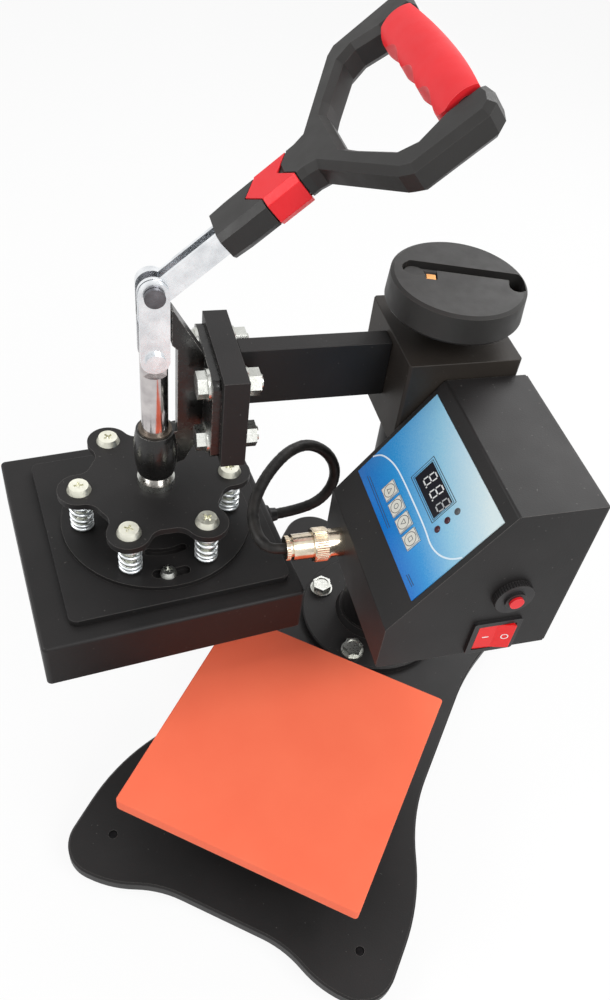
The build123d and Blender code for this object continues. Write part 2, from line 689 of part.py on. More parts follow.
with BuildPart() as bracket_nuts:
    for washer_u in (bracket_u, nut_u):
        with BuildSketch(arm_front(washer_u)):
            with Locations(*bolt_spots):
                Circle(M8_WASHER)
                Circle(M8_RADIUS + RUN, mode=Mode.SUBTRACT)
        extrude(amount=M8_WASHER_THICK)
    with BuildSketch(arm_front(nut_u)):
        with Locations(*bolt_spots):
            RegularPolygon(M8_FLATS / 2, 6, major_radius=False)
            Circle(M8_RADIUS + RUN, mode=Mode.SUBTRACT)
    extrude(amount=-6.5)
bracket_nuts.part.label = "bracket_nuts"
export_step(bracket_nuts.part, "parts/bracket_nuts.step")

with BuildPart() as pivot_pin:
    with BuildSketch(arm_side()):
        with Locations((REACH, pivot_z)):
            Circle(PIVOT_RADIUS)
    extrude(amount=lever_outer, both=True)
pivot_pin.part.label = "pivot_pin"
export_step(pivot_pin.part, "parts/pivot_pin.step")

# Lever: a channel open above, whose cheeks hold the crank pin and turn on the fixed pivot
lever_end = SOCKET_FROM + LEVER_IN
with BuildPart() as lever_channel:
    with BuildSketch(handle_side()):
        with BuildLine():
            Polyline(
                (0, LEVER_LOW),
                (lever_end, LEVER_LOW),
                (lever_end, LEVER_HIGH),
                (0, LEVER_HIGH),
                close=True,
            )
        make_face()
        Circle(EYE_RADIUS)
    extrude(amount=lever_outer, both=True)
    with BuildSketch(arm_side()):
        with Locations((REACH, (LINK_PIN_Z + pivot_z) / 2)):
            SlotCenterToCenter(CRANK, 2 * EYE_RADIUS, rotation=90)
    extrude(amount=lever_outer, both=True)
    with BuildSketch(handle_side()):
        with BuildLine():
            Polyline(
                (-40, -40),
                (LEVER_FLOOR, -40),
                (LEVER_FLOOR, LEVER_LOW + LEVER_THICK),
                (lever_end, LEVER_LOW + LEVER_THICK),
                (lever_end, 40),
                (-40, 40),
                close=True,
            )
        make_face()
    extrude(amount=lever_inner, both=True, mode=Mode.SUBTRACT)
    with BuildSketch(arm_side()):
        with Locations((REACH, pivot_z)):
            Circle(PIVOT_RADIUS + RUN)
        with Locations((REACH, LINK_PIN_Z)):
            Circle(PIN_RADIUS)
    extrude(amount=lever_outer, both=True, mode=Mode.SUBTRACT)
lever_channel.part.label = "lever_channel"
export_step(lever_channel.part, "parts/lever_channel.step")

pin_reach = link_outer + GAP
with BuildPart() as link_pin:
    with BuildSketch(arm_side()):
        with Locations((REACH, LINK_PIN_Z)):
            Circle(PIN_RADIUS)
    extrude(amount=pin_reach, both=True)
    for side in (-1, 1):
        with BuildSketch(arm_side(side * pin_reach)):
            with Locations((REACH, LINK_PIN_Z)):
                Circle(RIVET_HEAD)
        extrude(amount=-side * RIVET_HIGH)
link_pin.part.label = "link_pin"
export_step(link_pin.part, "parts/link_pin.step")

# Toggle links: one plate each side, with the plunger pin's rivet head fixed in each plate
link_middle = (LINK_PIN_Z + plunger_pin_z) / 2
with BuildPart() as toggle_links:
    for side in (-1, 1):
        with BuildSketch(arm_side(side * link_inner)):
            with Locations((REACH, link_middle)):
                SlotCenterToCenter(LINK_LENGTH, 2 * LINK_HALF, rotation=90)
            with Locations((REACH, LINK_PIN_Z)):
                Circle(PIN_RADIUS + RUN, mode=Mode.SUBTRACT)
        extrude(amount=-side * LINK_THICK)
        with BuildSketch(arm_side(side * link_outer)):
            with Locations((REACH, plunger_pin_z)):
                Circle(RIVET_HEAD)
        extrude(amount=-side * RIVET_HIGH)
toggle_links.part.label = "toggle_links"
export_step(toggle_links.part, "parts/toggle_links.step")

# Plunger with flats and a rounded end at its top, and a stud that carries the spider
plunger_flat = plunger_pin_z - PLUNGER_RADIUS - 4
with BuildPart() as plunger_rod:
    with BuildSketch(plunger.offset(SPIDER_TOP)):
        Circle(PLUNGER_RADIUS)
    extrude(amount=plunger_pin_z + PLUNGER_RADIUS - SPIDER_TOP)
    with BuildSketch(arm_side()):
        with Locations((REACH, (plunger_pin_z + SPIDER_TOP) / 2)):
            Rectangle(2 * PLUNGER_RADIUS, plunger_pin_z - SPIDER_TOP)
        with Locations((REACH, plunger_pin_z)):
            Circle(PLUNGER_RADIUS)
    extrude(amount=PLUNGER_RADIUS, both=True, mode=Mode.INTERSECT)
    for side in (-1, 1):
        with BuildSketch(arm_side(side * FLAT_HALF)):
            with Locations((REACH, plunger_flat + 15)):
                Rectangle(3 * PLUNGER_RADIUS, 30)
        extrude(amount=-side * PLUNGER_RADIUS, mode=Mode.SUBTRACT)
    with BuildSketch(arm_side()):
        with Locations((REACH, plunger_pin_z)):
            Circle(PIN_RADIUS)
    extrude(amount=link_inner - RUN, both=True)
    with BuildSketch(plunger.offset(SPIDER_TOP)):
        Circle(STUD_RADIUS)
    extrude(amount=-SPIDER_THICK - NUT_HIGH - 2)
plunger_rod.part.label = "plunger_rod"
export_step(plunger_rod.part, "parts/plunger_rod.step")

# Spider: six lobes round the hanger screws
with BuildPart() as spider:
    with BuildSketch(spider_plane.offset(spider_bottom)) as spider_outline:
        Circle(SPIDER_CORE)
        with PolarLocations(SCREW_CIRCLE, SCREWS):
            Circle(SPIDER_LOBE)
        fillet(spider_outline.vertices(), radius=SPIDER_VALLEY)
        Circle(STUD_RADIUS + RUN, mode=Mode.SUBTRACT)
        with PolarLocations(SCREW_CIRCLE, SCREWS):
            Circle(HANGER_SCREW + GAP, mode=Mode.SUBTRACT)
    extrude(amount=SPIDER_THICK)
spider.part.label = "spider"
export_step(spider.part, "parts/spider.step")

with BuildPart() as spider_nuts:
    with BuildSketch(plunger.offset(SPIDER_TOP)):
        Circle(NUT_RADIUS)
        Circle(PLUNGER_RADIUS + RUN, mode=Mode.SUBTRACT)
    extrude(amount=NUT_HIGH)
    with BuildSketch(plunger.offset(spider_bottom)):
        RegularPolygon(NUT_RADIUS, 6)
        Circle(STUD_RADIUS + RUN, mode=Mode.SUBTRACT)
    extrude(amount=-NUT_HIGH)
spider_nuts.part.label = "spider_nuts"
export_step(spider_nuts.part, "parts/spider_nuts.step")


# Springs: one unbroken coil, drawn as arcs that meet with one tangent, then set round the spider
def helix_point(angle, low, pitch):
    """Point and unit tangent of the coil's centre line at an angle."""
    point = Vector(SPRING_RADIUS * cos(angle), SPRING_RADIUS * sin(angle), low + pitch * angle / (2 * pi))
    rise = pitch / (2 * pi * SPRING_RADIUS)
    return point, Vector(-sin(angle), cos(angle), rise).normalized()


def biarc(start, start_tangent, end, end_tangent):
    """Two arcs from start to end that share a tangent where they meet."""
    chord = end - start
    turn = start_tangent + end_tangent
    a = 2 * (start_tangent.dot(end_tangent) - 1)
    b = -2 * chord.dot(turn)
    reach = abs((-b - sqrt(b * b - 4 * a * chord.dot(chord))) / (2 * a))
    first = start + start_tangent * reach
    second = end - end_tangent * reach
    meeting = (first + second) * 0.5
    TangentArc(start, meeting, tangent=start_tangent)
    TangentArc(meeting, end, tangent=(second - first).normalized())


spring_low = disc_top + WIRE_RADIUS + GAP
spring_high = spider_bottom - WIRE_RADIUS - GAP
spring_end = 2 * WIRE_RADIUS
spring_pitch = (spring_high - spring_low) / SPRING_TURNS
half_turns = int(2 * SPRING_TURNS)
stops = [helix_point(pi * k, spring_low, spring_pitch) for k in range(half_turns + 1)]
with BuildPart() as one_spring:
    with BuildLine() as coil:
        Line(stops[0][0] - stops[0][1] * spring_end, stops[0][0])
        for (p, t), (q, s) in zip(stops, stops[1:]):
            biarc(p, t, q, s)
        Line(stops[-1][0], stops[-1][0] + stops[-1][1] * spring_end)
    with BuildSketch(Plane(origin=coil.line @ 0, z_dir=coil.line % 0)):
        RegularPolygon(WIRE_RADIUS, WIRE_SIDES)
    sweep(path=coil.line, clean=False)

with BuildPart() as platen_springs:
    with Locations(Location(spider_plane)):
        with PolarLocations(SCREW_CIRCLE, SCREWS):
            add(one_spring.part, clean=False)
platen_springs.part.label = "platen_springs"
export_step(platen_springs.part, "parts/platen_springs.step")

turn_samples = 24
samples = [
    helix_point(2 * pi * k / turn_samples, spring_low, spring_pitch)[0]
    for k in range(int(turn_samples * SPRING_TURNS))
]
least = min(
    (samples[i] - samples[j]).length
    for i in range(len(samples))
    for j in range(i + turn_samples // 2, len(samples))
)
print("spring turns", SPRING_TURNS, "least gap between its turns", round(least - 2 * WIRE_RADIUS, 2))
wire_area = WIRE_SIDES / 2 * WIRE_RADIUS ** 2 * sin(2 * pi / WIRE_SIDES)
coil_length = sum(edge.length for edge in coil.line.edges())
print("spring volume by section and length", round(coil_length * wire_area * SCREWS, 1))
print("spring volume as built", round(platen_springs.part.volume, 1))

# Slotted disc and the screws that hang it from the spider
disc_slots = [
    (SLOT_CIRCLE, SLOT_HALF_WIDE, SLOT_HALF_ANGLE),
    (INNER_SLOT_CIRCLE, INNER_SLOT_HALF_WIDE, INNER_SLOT_HALF_ANGLE),
]
with BuildPart() as slotted_disc:
    with BuildSketch(spider_plane.offset(adapter_top)):
        Circle(DISC_RADIUS)
        for circle, half_wide, half_angle in disc_slots:
            for slot_at in (90, 270):
                with BuildLine(mode=Mode.PRIVATE) as slot_path:
                    CenterArc((0, 0), circle, slot_at - half_angle, 2 * half_angle)
                SlotArc(slot_path.wires()[0], 2 * half_wide, mode=Mode.SUBTRACT)
        with PolarLocations(SCREW_CIRCLE, SCREWS):
            Circle(HANGER_SCREW, mode=Mode.SUBTRACT)
    extrude(amount=DISC_THICK)
slotted_disc.part.label = "slotted_disc"
export_step(slotted_disc.part, "parts/slotted_disc.step")

with BuildPart() as hanger_screws:
    with BuildSketch(spider_plane.offset(adapter_top)):
        with PolarLocations(SCREW_CIRCLE, SCREWS):
            Circle(HANGER_SCREW)
    extrude(amount=SPIDER_TOP - adapter_top)
    with BuildSketch(spider_plane.offset(SPIDER_TOP + RUN)):
        with PolarLocations(SCREW_CIRCLE, SCREWS):
            Circle(HANGER_HEAD)
    extrude(amount=HANGER_HEAD_HIGH, taper=22)
    with BuildSketch(spider_plane.offset(SPIDER_TOP)):
        with PolarLocations(SCREW_CIRCLE, SCREWS):
            Circle(HANGER_SCREW)
    extrude(amount=HANGER_HEAD_HIGH / 2)
    with BuildSketch(spider_plane.offset(SPIDER_TOP + HANGER_HEAD_HIGH)):
        with PolarLocations(SCREW_CIRCLE, SCREWS):
            Rectangle(5.5, 1.4)
            Rectangle(1.4, 5.5)
    extrude(amount=-1.6, both=True, mode=Mode.SUBTRACT)
hanger_screws.part.label = "hanger_screws"
export_step(hanger_screws.part, "parts/hanger_screws.step")

# Heated platen
screw_at = 90 - YAW
with BuildPart() as adapter_plate:
    with BuildSketch(turned.offset(COVER_TOP)):
        RectangleRounded(ADAPTER, ADAPTER, 5)
        with PolarLocations(SLOT_CIRCLE, 2, start_angle=screw_at):
            Circle(SLOT_SCREW, mode=Mode.SUBTRACT)
    extrude(amount=ADAPTER_THICK)
adapter_plate.part.label = "adapter_plate"
export_step(adapter_plate.part, "parts/adapter_plate.step")

with BuildPart() as slot_screws:
    with BuildSketch(turned.offset(disc_top + RUN)):
        with PolarLocations(SLOT_CIRCLE, 2, start_angle=screw_at):
            Circle(SLOT_HEAD)
    extrude(amount=SLOT_HEAD_HIGH, taper=22)
    with BuildSketch(turned.offset(COVER_TOP)):
        with PolarLocations(SLOT_CIRCLE, 2, start_angle=screw_at):
            Circle(SLOT_SCREW)
    extrude(amount=disc_top + 1 - COVER_TOP)
    with BuildSketch(turned.offset(disc_top + SLOT_HEAD_HIGH)):
        with PolarLocations(SLOT_CIRCLE, 2, start_angle=screw_at):
            Rectangle(4.5, 1.2)
            Rectangle(1.2, 4.5)
    extrude(amount=-1.4, both=True, mode=Mode.SUBTRACT)
slot_screws.part.label = "slot_screws"
export_step(slot_screws.part, "parts/slot_screws.step")

# The gland points at the swivel's axis, so that it turns clear of the cable's end
heater_gland_side = PLATEN_OUT * sin(radians(YAW))
heater_gland_z = 53.0
gland_hole = 5.0
cover_bottom = PLATEN_BOTTOM + 2
with BuildPart() as heater_cover:
    with BuildSketch(heater.offset(cover_bottom)):
        RectangleRounded(PLATEN, PLATEN, COVER_CORNER)
    extrude(amount=COVER_TOP - cover_bottom)
    fillet(heater_cover.edges().group_by(Axis.Z)[-1], radius=2.0)
    with BuildSketch(heater.offset(cover_bottom)):
        Rectangle(PLATEN - 2 * COVER_WALL, PLATEN - 2 * COVER_WALL)
    extrude(amount=COVER_TOP - COVER_WALL - cover_bottom, mode=Mode.SUBTRACT)
    with BuildSketch(
        Plane(
            origin=heater.from_local_coords((-PLATEN / 2, heater_gland_side, heater_gland_z)),
            x_dir=heater.y_dir,
            z_dir=heater.x_dir,
        )
    ):
        Circle(gland_hole)
    extrude(amount=COVER_WALL, mode=Mode.SUBTRACT)
heater_cover.part.label = "heater_cover"
export_step(heater_cover.part, "parts/heater_cover.step")

inner_size = PLATEN - 2 * COVER_WALL - 2 * HEATER_EDGE
with BuildPart() as heating_plate:
    with BuildSketch(heater.offset(PLATEN_BOTTOM)):
        RectangleRounded(inner_size, inner_size, 3)
    extrude(amount=HEATER_THICK)
    with BuildSketch(heater.offset(PLATEN_BOTTOM + HEATER_THICK)):
        with Locations((0, inner_size / 4), (0, -inner_size / 4)):
            Rectangle(inner_size * 0.7, 7)
        with Locations((inner_size * 0.35, 0)):
            Rectangle(7, inner_size / 2 + 7)
    extrude(amount=3)
heating_plate.part.label = "heating_plate"
export_step(heating_plate.part, "parts/heating_plate.step")

wool_bottom = PLATEN_BOTTOM + HEATER_THICK + 3
with BuildPart() as insulation_pad:
    with BuildSketch(heater.offset(wool_bottom)):
        with Locations((GAP + 5, 0)):
            Rectangle(inner_size - 10, inner_size)
    extrude(amount=COVER_TOP - COVER_WALL - wool_bottom)
insulation_pad.part.label = "insulation_pad"
export_step(insulation_pad.part, "parts/insulation_pad.step")

gland_plane = Plane(
    origin=heater.from_local_coords((-PLATEN / 2, heater_gland_side, heater_gland_z)),
    x_dir=heater.y_dir,
    z_dir=-heater.x_dir,
)
with BuildPart() as heater_gland:
    with BuildSketch(gland_plane):
        Circle(gland_hole + 2)
    extrude(amount=3)
    with BuildSketch(gland_plane.offset(3)):
        Circle(gland_hole)
    extrude(amount=5, taper=8)
    with BuildSketch(gland_plane):
        Circle(gland_hole - RUN)
    extrude(amount=-COVER_WALL - 2)
heater_gland.part.label = "heater_gland"
export_step(heater_gland.part, "parts/heater_gland.step")

# Pressure knob, spindle and fold away handle
groove = Plane(
    origin=(0, COLUMN_Y, KNOB_TOP),
    x_dir=arm.x_dir * cos(radians(GROOVE_TURN)) + arm.y_dir * sin(radians(GROOVE_TURN)),
    z_dir=(0, 0, 1),
)
groove_from = FOLD_PIVOT - 1
fold_z = -FOLD_BAR - 2.6
pin_radius = 1.2
pin_low = HUB_SIDE - FOLD_HUB - 2.5
pin_high = GROOVE_SIDE + GROOVE_WIDE / 2 + 2.5
cross = Plane(origin=groove.origin, x_dir=groove.x_dir, z_dir=groove.y_dir)
groove_middle = (GROOVE_END + groove_from) / 2
hook_middle = GROOVE_SIDE + GROOVE_WIDE / 2 - HOOK_LONG / 2
with BuildPart() as knob:
    with BuildSketch(Plane(origin=column.origin, x_dir=(1, 0, 0), z_dir=(0, -1, 0))):
        with BuildLine():
            Polyline(
                (0, HOUSING_TOP + GAP),
                (KNOB_NECK, HOUSING_TOP + GAP),
                (KNOB_NECK, KNOB_BOTTOM + KNOB_HOLLOW),
                (KNOB_RADIUS - 3, KNOB_BOTTOM + KNOB_HOLLOW),
                (KNOB_RADIUS - 3, KNOB_BOTTOM),
                (KNOB_RADIUS - 1, KNOB_BOTTOM),
                (KNOB_RADIUS, KNOB_BOTTOM + 1.5),
                (KNOB_RIM + 1, KNOB_TOP - 1.2),
                (KNOB_RIM - 1, KNOB_TOP),
                (0, KNOB_TOP),
                close=True,
            )
        make_face()
    revolve(axis=Axis((0, COLUMN_Y, 0), (0, 0, 1)))
    with BuildSketch(groove):
        with Locations((groove_middle, GROOVE_SIDE)):
            SlotOverall(GROOVE_END - groove_from + GROOVE_WIDE, GROOVE_WIDE)
        with Locations((FOLD_PIVOT + 5, (HUB_SIDE + GROOVE_SIDE) / 2)):
            Rectangle(10, GROOVE_WIDE + GROOVE_SIDE - HUB_SIDE)
        with Locations((LUG_X, LUG_SIDE + 1.5)):
            RectangleRounded(LUG_SIZE + 1.6, LUG_SIZE + 5, 1)
        with Locations((GROOVE_END, hook_middle)):
            SlotOverall(HOOK_LONG, HOOK_WIDE, rotation=90)
    extrude(amount=-GROOVE_DEEP, mode=Mode.SUBTRACT)
    with BuildSketch(groove):
        with Locations((FOLD_PIVOT, HUB_SIDE)):
            Circle(FOLD_HUB + 0.6)
    extrude(amount=fold_z - FOLD_HUB - GAP, mode=Mode.SUBTRACT)
    with BuildSketch(cross.offset(pin_low)):
        with Locations((FOLD_PIVOT, -fold_z)):
            Circle(pin_radius + RUN)
    extrude(amount=pin_high - pin_low, mode=Mode.SUBTRACT)
    with BuildSketch(column.offset(HOUSING_TOP)):
        Circle(SPINDLE_RADIUS)
    extrude(amount=KNOB_BOTTOM + KNOB_HOLLOW - HOUSING_TOP, mode=Mode.SUBTRACT)
knob.part.label = "knob"
export_step(knob.part, "parts/knob.step")

collar_top = bore_top - GAP
with BuildPart() as spindle:
    with BuildSketch(column.offset(SPINDLE_BOTTOM)):
        Circle(SPINDLE_RADIUS)
    extrude(amount=KNOB_BOTTOM + KNOB_HOLLOW - SPINDLE_BOTTOM)
    with BuildSketch(column.offset(collar_top)):
        Circle(SPINDLE_RADIUS + 4)
    extrude(amount=-5)
spindle.part.label = "spindle"
export_step(spindle.part, "parts/spindle.step")

# Brass lug beside the ball, and the steel pin across the ball's pocket
with BuildPart() as pivot_block:
    with BuildSketch(groove.offset(-GROOVE_DEEP)):
        with Locations((LUG_X, LUG_SIDE)):
            Rectangle(LUG_SIZE, LUG_SIZE)
    extrude(amount=GROOVE_DEEP - 0.8)
    with BuildSketch(cross.offset(pin_low)):
        with Locations((FOLD_PIVOT, -fold_z)):
            Circle(pin_radius)
    extrude(amount=pin_high - pin_low)
pivot_block.part.label = "pivot_block"
export_step(pivot_block.part, "parts/pivot_block.step")

bar_length = GROOVE_END - 3 - FOLD_PIVOT
hub_flat = degrees(asin((FOLD_BAR + 0.4) / FOLD_HUB))  # latitude where the ball is cut flat
with BuildPart() as fold_handle:
    with BuildSketch(
        Plane(
            origin=groove.from_local_coords((FOLD_PIVOT, GROOVE_SIDE, fold_z)),
            x_dir=groove.y_dir,
            z_dir=groove.x_dir,
        )
    ):
        Circle(FOLD_BAR)
    extrude(amount=bar_length)
    with Locations(Location(groove.offset(fold_z))):
        with Locations((FOLD_PIVOT, HUB_SIDE)):
            Sphere(FOLD_HUB, arc_size1=-hub_flat, arc_size2=hub_flat)
    with BuildSketch(cross.offset(pin_low)):
        with Locations((FOLD_PIVOT, -fold_z)):
            Circle(pin_radius + RUN)
    extrude(amount=pin_high - pin_low, mode=Mode.SUBTRACT)
fold_handle.part.label = "fold_handle"
export_step(fold_handle.part, "parts/fold_handle.step")

# Control box: folded sheet steel with a sloping panel, closed at the back by a cover
box_profile = [
    (BOX_REAR, BOX_BOTTOM),
    (BOX_FRONT, BOX_BOTTOM),
    (BOX_FRONT, BOX_LIP),
    (BOX_RIDGE, BOX_TOP),
    (BOX_REAR, BOX_TOP),
]
box_width = BOX_OUTER - BOX_INNER
back_cover = 1.2
socket_hole = SOCKET_RADIUS - 1.5
breaker_hole = 6.0
key_spots = [(KEY_FIRST + KEY_PITCH * k, -KEY_DOWN) for k in range(4)]
lamp_spots = [(LAMP_SIDE, LAMP_UP + LAMP_PITCH * (1 - k)) for k in range(3)]
display_spot = (DISPLAY_SIDE, DISPLAY_UP)
with BuildPart() as control_box:
    with BuildSketch(arm_side(BOX_OUTER)):
        with BuildLine():
            Polyline(*box_profile, close=True)
        make_face()
    extrude(amount=box_width)
    fillet(
        control_box.edges().filter_by(
            lambda e: abs(e.tangent_at(0).dot(arm.y_dir)) > 0.99
            and arm.to_local_coords(e.center()).X > BOX_REAR + 1
        ),
        radius=2.0,
    )
    with BuildSketch(arm_side(BOX_OUTER - BOX_WALL)):
        with BuildLine():
            inner_top = BOX_TOP - BOX_WALL
            inner_front = BOX_FRONT - BOX_WALL
            inner_ridge = BOX_RIDGE - BOX_WALL * tan(slope / 2)
            Polyline(
                (BOX_REAR, BOX_BOTTOM + BOX_WALL),
                (inner_front, BOX_BOTTOM + BOX_WALL),
                (inner_front, BOX_LIP - BOX_WALL * tan((pi / 2 - slope) / 2)),
                (inner_ridge, inner_top),
                (BOX_REAR, inner_top),
                close=True,
            )
        make_face()
    extrude(amount=box_width - 2 * BOX_WALL, mode=Mode.SUBTRACT)
    with BuildSketch(panel(1)):
        with Locations(display_spot):
            Rectangle(DISPLAY_WIDE - 6, DISPLAY_HIGH - 4)
        with Locations(*key_spots):
            Rectangle(KEY_SIZE - 3, KEY_SIZE - 3)
        with Locations(*lamp_spots):
            Circle(LAMP_RADIUS + GAP)
    extrude(amount=-BOX_WALL - 2, mode=Mode.SUBTRACT)
    with BuildSketch(arm_front(BOX_FRONT)):
        with Locations((CONNECTOR_SIDE, CONNECTOR_Z)):
            Circle(socket_hole)
    extrude(amount=-BOX_WALL - 1, mode=Mode.SUBTRACT)
    with BuildSketch(arm_side(BOX_OUTER)):
        with Locations((BREAKER_U, BREAKER_Z)):
            Circle(breaker_hole)
        with Locations((ROCKER_U, ROCKER_Z)):
            Rectangle(ROCKER_WIDE - 3, ROCKER_HIGH - 3)
    extrude(amount=BOX_WALL + 1, mode=Mode.SUBTRACT)
control_box.part.label = "control_box"
export_step(control_box.part, "parts/control_box.step")

cover_spots = [
    (box_middle + sx * (box_width / 2 - 10), (BOX_TOP + BOX_BOTTOM) / 2 + sz * 45)
    for sx in (-1, 1)
    for sz in (-1, 1)
]
with BuildPart() as box_back_cover:
    with BuildSketch(arm_front(BOX_REAR)):
        with Locations((box_middle, (BOX_TOP + BOX_BOTTOM) / 2)):
            Rectangle(box_width - 1, BOX_TOP - BOX_BOTTOM - 1)
        with Locations((GLAND_SIDE, GLAND_Z)):
            Circle(6, mode=Mode.SUBTRACT)
        with Locations(*cover_spots):
            Circle(1.5, mode=Mode.SUBTRACT)
    extrude(amount=-back_cover)
    with BuildSketch(arm_front(BOX_REAR - back_cover)):
        with Locations((box_middle, BOX_TOP - 30)):
            with GridLocations(0, 6, 1, 5):
                SlotOverall(50, 2.5)
    extrude(amount=back_cover, mode=Mode.SUBTRACT)
box_back_cover.part.label = "box_back_cover"
export_step(box_back_cover.part, "parts/box_back_cover.step")

# Screws of the back cover, and those that hold the box on the housing
mount_spots = [(u, z) for u in (-24.0, 2.0) for z in (HOUSING_BOTTOM + 12, BOX_TOP - 18)]
with BuildPart() as box_screws:
    with BuildSketch(arm_front(BOX_REAR - back_cover)):
        with Locations(*cover_spots):
            Circle(3)
    extrude(amount=-2, taper=20)
    with BuildSketch(arm_front(BOX_REAR - back_cover)):
        with Locations(*cover_spots):
            Circle(1.5)
    extrude(amount=7)
    with BuildSketch(arm_side(BOX_INNER + BOX_WALL)):
        with Locations(*mount_spots):
            Circle(4)
    extrude(amount=-3)
box_screws.part.label = "box_screws"
export_step(box_screws.part, "parts/box_screws.step")

with BuildPart() as label_panel:
    with BuildSketch(panel()):
        RectangleRounded(LABEL_WIDE, LABEL_HIGH, 1.5)
        with Locations(display_spot):
            Rectangle(DISPLAY_WIDE, DISPLAY_HIGH, mode=Mode.SUBTRACT)
        with Locations(*key_spots):
            Rectangle(KEY_SIZE + 0.4, KEY_SIZE + 0.4, mode=Mode.SUBTRACT)
        with Locations(*lamp_spots):
            Circle(LAMP_RADIUS + GAP, mode=Mode.SUBTRACT)
    extrude(amount=LABEL_THICK)
label_panel.part.label = "label_panel"
export_step(label_panel.part, "parts/label_panel.step")

board_deep = 9.0
with BuildPart() as display_module:
    with BuildSketch(panel(RUN)):
        with Locations(display_spot):
            Rectangle(DISPLAY_WIDE - 0.4, DISPLAY_HIGH - 0.4)
    extrude(amount=0.8)
    with BuildSketch(panel(RUN)):
        with Locations(display_spot):
            Rectangle(DISPLAY_WIDE - 6.4, DISPLAY_HIGH - 4.4)
    extrude(amount=-board_deep - RUN)
    with BuildSketch(panel(-board_deep)):
        with Locations(*lamp_spots):
            Circle(LAMP_RADIUS)
    extrude(amount=board_deep + 1.2)
display_module.part.label = "display_module"
export_step(display_module.part, "parts/display_module.step")

keys = ("key_up", "key_set", "key_down", "key_stop")
key_stem = KEY_SIZE - 3 - 2 * GAP
for key_name, key_spot in zip(keys, key_spots):
    with BuildPart() as panel_key:
        with BuildSketch(panel(KEY_TRAVEL + 0.1)):
            with Locations(key_spot):
                Rectangle(KEY_SIZE, KEY_SIZE)
        extrude(amount=0.9)
        with BuildSketch(panel(KEY_TRAVEL + 0.1)):
            with Locations(key_spot):
                Rectangle(key_stem, key_stem)
        extrude(amount=-board_deep + 1)
    panel_key.part.label = key_name
    export_step(panel_key.part, f"parts/{key_name}.step")

# Controller board behind the panel, with its transformer and relay
with BuildPart() as controller_board:
    with BuildSketch(panel(-board_deep)):
        Rectangle(86, 54)
    extrude(amount=-1.6)
    with BuildSketch(panel(-board_deep - 1.6)):
        with Locations((-22, 4)):
            Rectangle(26, 22)
    extrude(amount=-20)
    with BuildSketch(panel(-board_deep - 1.6)):
        with Locations((18, 4)):
            Rectangle(18, 15)
    extrude(amount=-15)
    with BuildSketch(panel(0)):
        with Locations((-41, 25), (41, 25), (-41, -25), (41, -25)):
            Circle(2)
    extrude(amount=-board_deep)
    with BuildSketch(panel(0)):
        with Locations((-41, 25), (41, 25), (-41, -25), (41, -25)):
            Circle(2.2)
    extrude(amount=-BOX_WALL - RUN, mode=Mode.SUBTRACT)
controller_board.part.label = "controller_board"
export_step(controller_board.part, "parts/controller_board.step")

# Round connector: socket in the box's front, plug with its coupling ring and clamp
connector = Plane(
    origin=arm.from_local_coords((BOX_FRONT, CONNECTOR_SIDE, CONNECTOR_Z)),
    x_dir=arm.y_dir,
    z_dir=arm.x_dir,
)
plug_length = 34.0
with BuildPart() as connector_socket:
    with BuildSketch(connector):
        Circle(SOCKET_RADIUS)
    extrude(amount=9)
    with BuildSketch(connector):
        Circle(socket_hole - RUN)
    extrude(amount=-12)
connector_socket.part.label = "connector_socket"
export_step(connector_socket.part, "parts/connector_socket.step")

with BuildPart() as connector_plug:
    with BuildSketch(connector.offset(9)):
        Circle(SOCKET_RADIUS + 1.2)
    extrude(amount=9)
    with BuildSketch(connector.offset(18)):
        Circle(SOCKET_RADIUS - 0.8)
    extrude(amount=12)
    with BuildSketch(connector.offset(30)):
        Circle(SOCKET_RADIUS - 2.6)
    extrude(amount=1.5)
    with BuildSketch(connector.offset(31.5)):
        Circle(SOCKET_RADIUS - 1.6)
    extrude(amount=plug_length - 31.5)
connector_plug.part.label = "connector_plug"
export_step(connector_plug.part, "parts/connector_plug.step")

# Resettable breaker and rocker switch in the box's outer side
with BuildPart() as breaker_body:
    with BuildSketch(arm_side(BOX_OUTER)):
        with Locations((BREAKER_U, BREAKER_Z)):
            Circle(breaker_hole - RUN)
            Circle(4 + RUN, mode=Mode.SUBTRACT)
    extrude(amount=BOX_WALL + 8)
    with BuildSketch(arm_side(BOX_OUTER)):
        with Locations((BREAKER_U, BREAKER_Z)):
            Circle(breaker_hole - RUN)
            Circle(4 + RUN, mode=Mode.SUBTRACT)
    extrude(amount=-BREAKER_NECK)
    with BuildSketch(arm_side(BOX_OUTER - BOX_WALL - 8)):
        with Locations((BREAKER_U, BREAKER_Z)):
            Rectangle(16, 24)
    extrude(amount=18)
    with BuildSketch(arm_side(BOX_OUTER)):
        with Locations((BREAKER_U, BREAKER_Z)):
            Circle(BREAKER_NUT)
            Circle(breaker_hole + RUN, mode=Mode.SUBTRACT)
    extrude(amount=-4)
breaker_body.part.label = "breaker_body"
export_step(breaker_body.part, "parts/breaker_body.step")

with BuildPart() as reset_button:
    with BuildSketch(arm_side(BOX_OUTER + 7)):
        with Locations((BREAKER_U, BREAKER_Z)):
            Circle(4)
    extrude(amount=14)
reset_button.part.label = "reset_button"
export_step(reset_button.part, "parts/reset_button.step")

